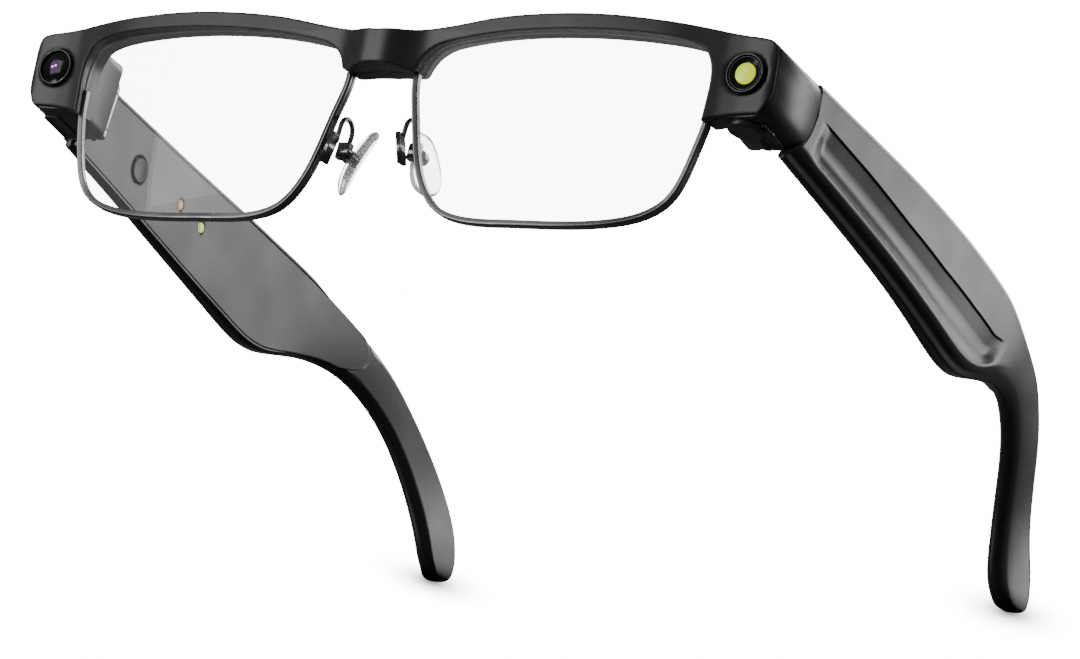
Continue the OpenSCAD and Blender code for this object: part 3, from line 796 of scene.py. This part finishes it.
# Two tiny domes that glow pink-white are painted glints, standing in for reflections of the studio lights.
painted_glint_r = np.linspace(0.02, 0.2, 6)
painted_glint_profile = np.vstack([np.stack([painted_glint_r, 0.9 * painted_glint_r ** 2 - 1.06], 1), [[0.2, -0.9], [0.02, -0.9]]])
painted_glints = [spun(painted_glint_profile, (-EYE_X + off, EYE_V + up), closed=False, steps=24)
          for off, up in ((0.3, 0.12), (-0.32, -0.12))]
make_piece("camera_painted_glints", painted_glints, "front", "black_gloss", ["camera_window"], look="lens_glint")
bezel = soft_polygon([[3.14, 1.3], [3.14, -0.45], [2.95, -0.6], [2.0, -0.34], [1.85, -0.2], [1.85, 1.3]],
                     [0.1, 0.12, 0.25, 0.12, 0.1, 0.1], 6)
make_piece("lamp_bezel", [spun(bezel, (EYE_X, EYE_V))], "front", "black_gloss", ["lamp_window"])
emitter_r = np.linspace(0.05, 1.86, 18)
emitter = np.vstack([np.stack([emitter_r, 0.07 * emitter_r ** 2 - 0.6], 1), [[1.86, 1.4], [0.05, 1.4]]])
make_piece("lamp_disc", [spun(emitter, (EYE_X, EYE_V), closed=False)], "front", "lamp_phosphor",
           ["lamp_emitter"])

# %% [markdown]
# A temple is a wide hollow arm that thins into a hook behind the ear. Stations pair a
# point on its upper edge with one on its lower edge, all the way round the tip, and each
# carries its own section: a chamfer and a flat band above, an undercut with a scooped
# panel below it, a ridge, and a narrower keel. Behind the knee the section turns into the
# plain rounded one of the hook.

# %% Temple stations
# Columns: upper edge (along, up), lower edge (along, up), middle across at both, half thickness.
TEMPLE_KEYS = np.array([
    [-57.75, 35.55, -60.6, 19.9, 72.35, 72.35, 1.85], [-42, 36.3, -42, 19.2, 73.0, 73.0, 1.95],
    [-22, 37.2, -21, 18.15, 73.7, 73.7, 2.1], [-6, 37.7, -6, 17.1, 73.75, 73.75, 2.28],
    [2, 37.8, 0, 16.6, 73.6, 73.65, 2.4], [10, 37.8, 6.5, 16.2, 73.35, 73.5, 2.45],
    [20, 37.65, 14, 17.1, 72.85, 73.1, 2.45], [28, 37.2, 21, 19.8, 72.3, 72.6, 2.4],
    [36, 36.4, 28.5, 22.7, 71.5, 71.6, 2.3], [43, 35.2, 35.5, 24.15, 70.4, 70.3, 2.15],
    [49, 33.7, 41, 24.05, 69.3, 69.0, 2.05], [54.5, 31.4, 46.5, 22.6, 68.0, 67.5, 1.95],
    [59.5, 28.4, 51.5, 20.1, 66.7, 65.9, 1.9], [68, 21.6, 58, 14.5, 63.9, 63.5, 1.85],
    [75.5, 14.4, 63.2, 8.6, 61.8, 61.7, 1.85], [80.1, 8.9, 67.0, 3.9, 61.35, 60.7, 1.9],
    [81.6, 5.0, 69.4, 1.75, 61.35, 60.6, 1.9], [80.6, 1.95, 72.4, 0.45, 61.4, 60.8, 1.9],
    [76.3, 0.1, 76.3, 0.1, 61.3, 61.3, 1.9]])

top_keys, low_keys = TEMPLE_KEYS[:, 0:2], TEMPLE_KEYS[:, 2:4]
station_knots = (chord(top_keys) + chord(low_keys)) / 2
TEMPLE_LONG = station_knots[-1]
both_knots = np.concatenate([station_knots - TEMPLE_LONG, TEMPLE_LONG - station_knots[-2::-1]])
both_edges = np.concatenate([TEMPLE_KEYS[:, [0, 1, 4]], TEMPLE_KEYS[-2::-1, [2, 3, 5]]])
print("the temple's middle line is", round(float(TEMPLE_LONG), 1), "mm long")


def temple_edges(s):
    """Upper and lower edge (along, up, across) at distance s from the front: one spline that
    passes round the tip."""
    upper = spline(both_knots, both_edges, s - TEMPLE_LONG)
    lower = spline(both_knots, both_edges, TEMPLE_LONG - s)
    return upper, lower


def temple_place(s, out, down):
    """A point at distance s, out from the section's middle, and down from its upper edge; s has
    one value a row."""
    upper, lower = temple_edges(s)
    tall = np.maximum(np.linalg.norm(lower[:, :2] - upper[:, :2], axis=1), 1e-6)
    share = down / tall[:, None]
    place = upper[:, None] + share[..., None] * (lower - upper)[:, None]
    first, last = temple_edges(np.zeros(1))
    low_share = (place[..., 1] - first[0, 1]) / (last[0, 1] - first[0, 1])
    slant = first[0, 0] + (last[0, 0] - first[0, 0]) * low_share
    y = place[..., 0] + (seam_y(place[..., 1]) - slant) * (1 - fade(s, 0, 14))[:, None]
    return np.stack([place[..., 2] + out, y, place[..., 1]], -1)


def tall_at(s):
    """Height of the section at distance s."""
    upper, lower = temple_edges(s)
    return np.maximum(np.linalg.norm(lower[:, :2] - upper[:, :2], axis=1), 1e-6)


def half_at(s):
    """Half thickness at distance s, rounded off over the last stretch to the tip."""
    half = spline(station_knots, TEMPLE_KEYS[:, 6], s)[:, 0] - 0.03
    left = np.clip((TEMPLE_LONG - s) / 4.2, 0, 1)
    return half * np.sqrt(1 - (1 - left) ** 2)


# %% [markdown]
# The inner cover lies in a shallow recess that ends in a round back end, so the recess is
# part of the shell's own section: its two edges come together at the end like a circle.

# %% Temple shell
STEP_DOWN = np.array([[-70, 5.2], [-53.5, 5.5], [-37.4, 6.6], [-20.8, 8.25], [-4.3, 9.25], [11.2, 9.6],
                      [23.1, 9.7], [32, 8.6], [45, 6], [90, 5]])
RECESS_START = 1.9
RECESS_END = 103.5
RECESS_DEEP = 0.5
COVER_GAP = 0.13


def recess_half(s, tall):
    """Half height of the recess: 1 mm inside the edges, round at its front corners and its back end."""
    full = tall / 2 - 1.05
    front = np.clip((s - RECESS_START) / 2.5, 0, 1)
    corner = 2.5 * (1 - np.sqrt(1 - (1 - front) ** 2))
    back = np.clip((RECESS_END - s) / 5.6, 0, 1)
    return np.where(s < RECESS_START, 0.02, np.maximum((full - corner) * np.sqrt(1 - (1 - back) ** 2), 0.02))


def temple_section(s):
    """Corner points (out, down) and their radii for every station, blended from panel to hook."""
    upper, _ = temple_edges(s)
    tall, half = tall_at(s), half_at(s)
    y = upper[:, 0]
    hook = fade(y, 22, 40)
    cut = fade(y, -56, -51) * fade(y, 30, 24)
    step = np.interp(y, STEP_DOWN[:, 0], STEP_DOWN[:, 1])
    low = tall - 1.75
    recess = recess_half(s, tall)
    deep = np.where((s > RECESS_START) & (s < RECESS_END), RECESS_DEEP, 0)
    mid = tall / 2
    spread = 0.28 * tall * fade(s, RECESS_END + 0.05, RECESS_END + 2.5)
    panel = [(half - 0.5, 0 * s), (half, 0 * s + 1.1), (half - 0.02, step), (half - 0.4 * cut, step + 0.14),
             (half - 0.1 - 1.2 * cut, step + 0.46 * (low - step)), (half - 0.15 * cut, low - 1.3),
             (half - 0.75, low), (half - 1.55, low + 0.2), (half - 2.0, tall), (0.55 - half, tall),
             (-half, tall - 0.55)]
    plain = [(half * 0.35, 0 * s), (half, tall * 0.17), (half + 0.06, tall * 0.33), (half + 0.08, tall * 0.42),
             (half + 0.08, tall * 0.52), (half + 0.04, tall * 0.68), (half * 0.96, tall * 0.82),
             (half * 0.72, tall * 0.93), (half * 0.3, tall), (-half * 0.35, tall), (-half, tall * 0.87)]
    inner = [(-half, mid + recess + spread), (deep - half, mid + recess + spread * 0.4),
             (deep - half, mid - recess - spread * 0.4), (-half, mid - recess - spread)]
    panel_top = [(-half, 0 * s + 0.6), (0.6 - half, 0 * s)]
    plain_top = [(-half, tall * 0.15), (-half * 0.35, 0 * s)]
    first = np.array(panel + inner + panel_top)
    second = np.array(plain + inner + plain_top)
    corners = (first * (1 - hook) + second * hook).transpose(2, 0, 1)
    in_recess = [0.1, 0.06, 0.06, 0.1]
    radii0 = np.array([0.25, 0.3, 0.1, 0.1, 2.2, 0.9, 0.5, 0.35, 0.4, 0.35, 0.35] + in_recess + [0.4, 0.4])
    radii1 = np.array([1.2, 1.2, 0.8, 0.8, 0.8, 0.8, 0.8, 0.7, 0.9, 1.2, 1.2] + in_recess + [1.2, 1.2])
    return corners, radii0 * (1 - hook[:, None]) + radii1 * hook[:, None]


def temple_stations():
    """Even stations, with more of them at the seam, at both ends of the recess and round the tip."""
    turn = 1 - np.cos(np.linspace(0, np.pi / 2, 14))
    even = np.linspace(0.15, TEMPLE_LONG - 0.02, 230)
    extra = [np.linspace(0.2, 5, 26), RECESS_START + 2.5 * turn, RECESS_END - 5.6 * turn,
             TEMPLE_LONG - 6 * turn[1:], RECESS_START + np.array([-0.05, 0.001]),
             RECESS_END + np.array([-0.001, 0.05])]
    return np.unique(np.round(np.concatenate([even] + extra), 4))


def temple_shell(side):
    """Rings at all stations; a first, slightly smaller ring rounds the front edge."""
    s = temple_stations()
    s = s[s < TEMPLE_LONG - 0.01]
    corners, radii = temple_section(s)
    rings = soft_polygon(corners, radii, 5)
    grid = temple_place(s, rings[..., 0], rings[..., 1])
    small = grid[0] + (grid[0].mean(0) - grid[0]) * [0.06, 0, 0.012]
    small[:, 1] -= 0.1
    part = wrapped(np.concatenate([small[None], grid]))
    return part if side > 0 else mirrored(part)


for label, side in SIDES.items():
    make_piece("temple_shell_smooth_" + label, [temple_shell(side)], "temple_" + label, "temple_plastic",
               ["temple_shell_" + label])

# %% [markdown]
# The inner cover is a thin, slightly crowned plate. On the right temple it has a round
# hole for the power button and two small ones for the status lights.

# %% Inner covers
BUTTON = (-38.5, 27.0)
GREEN = (-15.0, 27.8)
AMBER = (-23.0, 28.2)
table_s = np.linspace(0, TEMPLE_LONG - 1, 800)


def cover_coordinates(y, z):
    """Distance s along the temple and height over its middle for a point of the side view."""
    upper, lower = temple_edges(table_s)
    middle = (upper + lower)[:, :2] / 2
    down = (lower - upper)[:, :2] / tall_at(table_s)[:, None]
    off = np.array([y, z]) - middle
    miss = np.abs(off[:, 0] * down[:, 1] - off[:, 1] * down[:, 0])
    best = miss.argmin()
    return np.array([table_s[best], (off[best] * down[best]).sum()])


def cover_plate(side):
    """A sheet over (s, height); its outer face is crowned by a parabola across the height."""
    turn = 1 - np.cos(np.linspace(0, np.pi / 2, 16))
    start, end = RECESS_START + COVER_GAP, RECESS_END - COVER_GAP
    even = np.linspace(start, end, 300)
    s = np.unique(np.round(np.concatenate([start + 2.5 * turn, even, end - 5.6 * turn]), 4))
    tall = tall_at(s)
    half = np.maximum(recess_half(np.clip(s, start + 0.004, end - 0.004), tall) - COVER_GAP, 0.03)
    share = crowd(30, 0.2, 16) * 2 - 1
    flat = np.stack([np.repeat(s[:, None], len(share), 1), half[:, None] * share], -1)
    shape = flat.shape[:2]

    def face(at, height):
        crown = 0.22 * (1 - (height / (tall_at(at) / 2)) ** 2)
        return half_at(at) + crown - 0.08

    def floor(at, height):
        return half_at(at) - RECESS_DEEP + 0.02

    def place(at, out, height):
        return temple_place(at, -out[:, None], (tall_at(at) / 2 + height)[:, None])[:, 0]

    holes = []
    if side < 0:
        holes = [(cover_coordinates(*BUTTON), 2.5), (cover_coordinates(*GREEN), 0.97),
                 (cover_coordinates(*AMBER), 0.97)]
    part = sheet(flat, lambda a, h: -face(a, h), lambda a, h: -floor(a, h), 0.14, 0.05,
                 lambda a, w, h: place(a, -w, h), holes)
    return part if side > 0 else mirrored(part)


for label, side in SIDES.items():
    make_piece("temple_cover_smooth_" + label, [cover_plate(side)], "temple_" + label, "cover_plastic",
               ["temple_cover_" + label])

# %% [markdown]
# The power button is a shallow dished cap, and each status light is a small dome. They
# are spun about the axis that leaves the inner face squarely, which is X here.

# %% Button and status lights
def spun_across(profile, y, z, x, steps=64):
    """Spins (radius, height over x towards the wearer) about X, on the right temple."""
    profile = np.asarray(profile, float)
    angle = np.arange(steps) * 2 * np.pi / steps
    grid = np.stack([np.repeat(-x + profile[:, 1:], steps, 1), y + profile[:, :1] * np.cos(angle),
                     z + profile[:, :1] * np.sin(angle)], -1)
    return wrapped(grid)


cap_r = np.concatenate([np.linspace(0.05, 2.0, 20), 2.0 + 0.3 * np.sin(np.linspace(0.2, np.pi / 2, 6))])
cap_h = np.concatenate([0.32 + 0.04 * np.linspace(0.05, 2.0, 20) ** 2,
                        0.48 - 0.3 * (1 - np.cos(np.linspace(0.2, np.pi / 2, 6)))])
button_profile = np.vstack([np.stack([cap_r, cap_h], 1), [[2.3, -0.9], [0.05, -0.9]]])
make_piece("power_button_cap", [spun_across(button_profile, *BUTTON, 71.3)], "power_button", "brow_plastic",
           ["power_button"])
light_r = np.linspace(0.02, 0.94, 12)
light_h = 0.16 - 0.12 * (light_r / 0.94) ** 4
light_profile = np.vstack([np.stack([light_r, light_h], 1), [[0.94, -0.6], [0.02, -0.6]]])
make_piece("status_green_dome", [spun_across(light_profile, *GREEN, 71.5)], "temple_right", "light_green",
           ["status_light_green"])
make_piece("status_amber_dome", [spun_across(light_profile, *AMBER, 71.55)], "temple_right", "light_amber",
           ["status_light_amber"])

# %% [markdown]
# Each nose pad is a soft clear drop on a metal core, held by a box that pivots on a looped
# wire. The pad is made of rings that shrink along a quarter ellipse, which rounds its rim.

# %% Nose pads
PAD_THICK = 1.9
PAD_TURN = np.radians(-19)
PAD_SPLAY = np.radians(-28)
BOSS = np.array([7.3, -69.3, 14.6])


def spin(a, b, angle):
    """Turns the pair (a, b) by an angle, from a towards b."""
    return a * np.cos(angle) - b * np.sin(angle), a * np.sin(angle) + b * np.cos(angle)


def pad_place(points):
    """Turns pad points (thickness, along Y, up) about Z by the splay and Y by the turn, and
    moves them to the boss."""
    x, y, z = points[..., 0], points[..., 1], points[..., 2]
    x, y = spin(x, y, PAD_SPLAY)
    z, x = spin(z, x, PAD_TURN)
    return np.stack([x, y, z], -1) + BOSS + [-0.4, 3, 0]


def pad(side):
    """A drop outline, wider below; ring k is scaled by cos and offset in thickness by sin of its angle."""
    drop = smooth_line([[0, 6.5], [-1.5, 6.0], [-2.3, 4.4], [-3.0, 1.0], [-3.35, -2.5], [-2.6, -5.3],
                        [0, -6.3], [2.6, -5.3], [3.35, -2.5], [3.0, 1.0], [2.3, 4.4], [1.5, 6.0]], 90, closed=True)
    angle = np.linspace(-np.pi / 2 + 0.04, np.pi / 2 - 0.04, 41)
    scale = np.sign(np.cos(angle)) * np.abs(np.cos(angle)) ** 0.42
    deep = PAD_THICK / 2 * np.sin(angle)
    rings = drop[None] * scale[:, None, None]
    bend = 0.018 * rings[..., 1] ** 2
    x = deep[:, None] - bend + 0.25
    part = wrapped(pad_place(np.stack([x, rings[..., 0], rings[..., 1]], -1)))
    return part if side > 0 else mirrored(part)


def tube(path, radius, steps=20):
    """Circles carried along a path, turned so that neighbours don't twist."""
    path = np.asarray(path, float)
    along = np.gradient(path, axis=0)
    along /= np.linalg.norm(along, axis=1)[:, None]
    across = np.cross(along, [1.0, 0.13, 0.07])
    across /= np.linalg.norm(across, axis=1)[:, None]
    third = np.cross(along, across)
    angle = (np.arange(steps) * 2 * np.pi / steps)[:, None]
    ring_points = np.cos(angle) * across[:, None] + np.sin(angle) * third[:, None]
    return wrapped(path[:, None] + radius * ring_points)


def slab(low, high, radius, turn=lambda p: p):
    """A block whose long edges are round: a soft square carried along its height, with smaller end rings."""
    corners = [[low[0], low[1]], [high[0], low[1]], [high[0], high[1]], [low[0], high[1]]]
    square = soft_polygon(corners, radius, 5)
    middle = square.mean(0)
    angle = np.linspace(0, np.pi / 2, 5)
    drop = np.concatenate([radius * (1 - np.sin(angle)), radius * (1 - np.sin(angle[::-1]))])
    inset = np.concatenate([radius * (1 - np.cos(angle[::-1])), radius * (1 - np.cos(angle))])
    height = np.where(np.arange(10) < 5, low[2] + drop, high[2] - drop)
    size = (np.array(high) - low)[:2] / 2
    flat = middle + (square - middle)[None] * (1 - inset[:, None, None] / size)
    grid = np.concatenate([flat, np.broadcast_to(height[:, None, None], flat.shape[:2] + (1,))], -1)
    return wrapped(turn(grid))


def pad_arm(side):
    """The folded bracket on the rim and the wire that loops over to the box."""
    bow = np.linspace(0, np.pi, 25)
    loop = np.stack([6.5 + 0 * bow, -72.4 - 2 * np.cos(bow), 17.4 + 2.1 * np.sin(bow)], 1)
    wire = smooth_line(np.concatenate([[[6.5, -74.4, 14.4]], loop, [[6.5, -70.5, 15.3]]]), 60)

    def tilt(p):
        z, x = spin(p[..., 2], p[..., 0], np.radians(-15))
        y, z = spin(p[..., 1], z, LEAN)
        return np.stack([x + 7.1, y - 74.9, z + 12.9], -1)

    plate = slab((-0.4, -1.1, -2.8), (0.4, 1.1, 2.8), 0.16, tilt)
    parts = [tube(wire, 0.45), plate]
    return parts if side > 0 else [mirrored(p) for p in parts]


def pad_core(side):
    """The pivot and the round metal core in the pad, spun about Y."""
    core = np.array([[0.05, -1.9], [0.34, -1.9], [0.42, -1.8], [0.42, -0.05], [1.1, -0.05], [1.28, 0.1],
                     [1.3, 0.4], [1.3, 1.8], [1.15, 2.1], [0.05, 2.15]])
    angle = np.arange(40) * 2 * np.pi / 40
    grid = np.stack([BOSS[0] + core[:, :1] * np.cos(angle), BOSS[1] + np.repeat(core[:, 1:], 40, 1),
                     BOSS[2] + core[:, :1] * np.sin(angle)], -1)
    part = wrapped(grid)
    return part if side > 0 else mirrored(part)


for label, side in SIDES.items():
    make_piece("nose_pad_smooth_" + label, [pad(side)], "pad_" + label, "pad_silicone", ["nose_pad_" + label])
    make_piece("pad_core_" + label, [pad_core(side)], "pad_" + label, "rim_metal", ["pad_boss_" + label])
    make_piece("pad_arm_smooth_" + label, pad_arm(side), "front", "rim_metal", ["pad_arm_" + label])
    box = slab((BOSS[0] - 1.5, -71.1, BOSS[2] - 1.4), (BOSS[0] + 1.1, -69.7, BOSS[2] + 1.4), 0.3)
    make_piece("pad_box_smooth_" + label, [box if side > 0 else mirrored(box)], "front", "rim_metal",
               ["pad_box_" + label])

# %% [markdown]
# Under each endpiece a small plate is held by one screw. The hinge behind it has two short
# knuckles on the front and a long one on the temple, each with its own leaf. The battery is
# a pouch with soft edges, thin enough to leave room for the scooped panel.

# %% Plates and hinges
PIVOT = (67.0, -58.5)


def knuckle(low, high, radius=1.3):
    """A short cylinder round the hinge's axis with rounded rims."""
    profile = np.array([[0.05, low], [radius - 0.15, low], [radius - 0.04, low + 0.04],
                        [radius, low + 0.15], [radius, high - 0.15], [radius - 0.04, high - 0.04],
                        [radius - 0.15, high], [0.05, high]])
    angle = np.arange(48) * 2 * np.pi / 48
    grid = np.stack([PIVOT[0] + profile[:, :1] * np.cos(angle), PIVOT[1] + profile[:, :1] * np.sin(angle),
                     np.repeat(profile[:, 1:], 48, 1)], -1)
    return wrapped(grid)


def on_side(parts, side):
    """The parts as they are on the left, mirrored on the right."""
    return parts if side > 0 else [mirrored(part) for part in parts]


for label, side in SIDES.items():
    plate = slab((68.9, -69.2, 21.0), (72.0, -61.1, 21.9), 0.25)
    make_piece("endpiece_plate_smooth_" + label, on_side([plate], side), "front", "brow_plastic",
               ["endpiece_plate_" + label])
    front_parts = [knuckle(22.9, 24.35), knuckle(31.65, 33.1),
                   slab((64.6, -61.6, 23.0), (69.4, -60.7, 33.0), 0.15),
                   slab((66.0, -61.0, 22.95), (68.0, -58.6, 24.3), 0.1),
                   slab((66.0, -61.0, 31.7), (68.0, -58.6, 33.05), 0.1)]
    make_piece("hinge_front_smooth_" + label, on_side(front_parts, side), "front", "hinge_metal",
               ["hinge_front_" + label])
    rear_parts = [knuckle(24.42, 31.58), slab((67.2, -58.9, 24.6), (70.9, -57.7, 31.4), 0.15),
                  slab((70.2, -58.2, 24.2), (70.9, -54.5, 31.8), 0.15)]
    make_piece("hinge_rear_smooth_" + label, on_side(rear_parts, side), "temple_" + label, "hinge_metal",
               ["hinge_rear_" + label])

battery_low, battery_high = np.array(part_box("battery")) / MM
pouch = slab((battery_low[0] - 0.2, battery_low[1] + 0.2, battery_low[2] + 0.2),
             (battery_high[0] - 0.9, battery_high[1] - 0.2, battery_high[2] - 0.2), 0.3)
make_piece("battery_pouch", [pouch], "temple_left", "battery_foil", ["battery"])

# %% [markdown]
# The screws and the other electronics are already right as CAD solids, so they keep their
# meshes and only get a finish.

# %% Finishes for the CAD nodes that stay
record_slots = {part["node"]: part["material_slot"] for part in frame["record"]["subparts"]}
for name, node in nodes.items():
    if not node.hide_render:
        node.data.materials.clear()
        node.data.materials.append(FINISH[record_slots[name]])
        print(name, "->", record_slots[name])

# %% [markdown]
# The stage is a plain pale floor that the glasses stand on. The camera is below it, so its
# underside is see-through, and it doesn't hold back the light from below. Near the temple
# tips the see-through underside is tinted dark, a painted soft contact shadow under each tip.

# %% Floor
TIP_FOOT = (0.0613, 0.0765, 0)
SHADE_REACH = 0.013


def node_with(tree, kind, feeds=(), **settings):
    """A shader node with its own settings; feeds pairs a socket with the input it goes to."""
    node = tree.nodes.new("ShaderNode" + kind)
    for label, value in settings.items():
        setattr(node, label, value)
    for source, target in feeds:
        tree.links.new(source, node.inputs[target])
    return node


floor_mesh = bpy.data.meshes.new("floor")
floor_mesh.from_pydata([(-3, -3, 0), (3, -3, 0), (3, 3, 0), (-3, 3, 0)], [], [(0, 1, 2, 3)])
floor = bpy.data.objects.new("floor", floor_mesh)
bpy.context.scene.collection.objects.link(floor)
floor.location.z = cad_box[0][2] - 0.00005
floor.visible_shadow = False
floor.visible_glossy = False
floor.visible_diffuse = False
paper = bpy.data.materials.new("pale_paper")
paper.use_nodes = True
tree = paper.node_tree
matt = tree.nodes["Principled BSDF"]
matt.inputs["Base Color"].default_value = (0.86, 0.86, 0.86, 1)
matt.inputs["Roughness"].default_value = 0.9
spot = node_with(tree, "TexCoord")
apart = node_with(tree, "SeparateXYZ", [(spot.outputs["Object"], 0)])
fold = node_with(tree, "Math", [(apart.outputs["X"], 0)], operation="ABSOLUTE")
folded = node_with(tree, "CombineXYZ", [(fold.outputs["Value"], "X"), (apart.outputs["Y"], "Y")])
from_tip = node_with(tree, "VectorMath", [(folded.outputs["Vector"], 0)], operation="DISTANCE")
from_tip.inputs[1].default_value = TIP_FOOT
# Painted contact shadow: the see-through underside is tinted dark at each tip's foot, clearing further out.
shade = node_with(tree, "MapRange", [(from_tip.outputs["Value"], "Value")], interpolation_type="SMOOTHSTEP")
shade.inputs["From Max"].default_value = SHADE_REACH
shade.inputs["To Min"].default_value = 0.02
clear = node_with(tree, "BsdfTransparent", [(shade.outputs["Result"], "Color")])
under = node_with(tree, "NewGeometry")
swap = node_with(tree, "MixShader", [(under.outputs["Backfacing"], "Fac"), (matt.outputs["BSDF"], 1),
                                     (clear.outputs["BSDF"], 2)])
tree.links.new(swap.outputs["Shader"], tree.nodes["Material Output"].inputs["Surface"])
floor_mesh.materials.append(paper)
print("floor at", floor.location.z)

# %% [markdown]
# Soft studio light: white where a ray reaches the surround without a bounce, a gradient for
# everything that bounces, which is bright above and dim below, and a few soft boxes. Each
# box stands where the face it lights sends its mirrored ray.

# %% Light
WHITE = 16.0
AIM = (0, 0, 0.02)

world = bpy.data.worlds.new("studio")
bpy.context.scene.world = world
world.use_nodes = True
sky = world.node_tree
path = node_with(sky, "LightPath").outputs
bounced = node_with(sky, "Math", [(path["Diffuse Depth"], 0), (path["Glossy Depth"], 1)], operation="ADD")
unbounced = node_with(sky, "Math", [(bounced.outputs["Value"], 0)], operation="LESS_THAN")
unbounced.inputs[1].default_value = 0.5
looks = node_with(sky, "Math", [(path["Is Camera Ray"], 0), (path["Is Transmission Ray"], 1)],
                  operation="MAXIMUM")
seen = node_with(sky, "Math", [(looks.outputs["Value"], 0), (unbounced.outputs["Value"], 1)],
                 operation="MULTIPLY")
direction = node_with(sky, "TexCoord")
split = node_with(sky, "SeparateXYZ", [(direction.outputs["Generated"], 0)])
height = node_with(sky, "MapRange", [(split.outputs["Z"], "Value")])
for label, value in (("From Min", -0.5), ("From Max", 0.9), ("To Min", 0.06), ("To Max", 0.26)):
    height.inputs[label].default_value = value
white = node_with(sky, "Mix", data_type="FLOAT")
sky.links.new(seen.outputs["Value"], white.inputs["Factor"])
sky.links.new(height.outputs["Result"], white.inputs["A"])
white.inputs["B"].default_value = WHITE
sky.links.new(white.outputs["Result"], sky.nodes["Background"].inputs["Strength"])
sky.nodes["Background"].inputs["Color"].default_value = (1, 1, 1, 1)


def soft_box(name, place, size, power):
    """A square area light at place that looks at the glasses."""
    light = bpy.data.lights.new(name, "AREA")
    light.shape = "SQUARE"
    light.size = size
    light.energy = power
    lamp = bpy.data.objects.new(name, light)
    lamp.location = place
    lamp.rotation_euler = (Vector(AIM) - Vector(place)).to_track_quat("-Z", "Y").to_euler()
    bpy.context.scene.collection.objects.link(lamp)


soft_box("front", (-0.55, -0.95, 0.16), 0.6, 4.8)
soft_box("edge", (-0.6, -0.78, -0.6), 0.35, 3)
soft_box("back", (0.65, 1.0, 0.52), 0.45, 3.0)
soft_box("chamfer", (0.02, 1.0, 0.82), 0.4, 3)
soft_box("top", (0.1, 0.1, 1.2), 0.9, 4)
print("lights are in place")
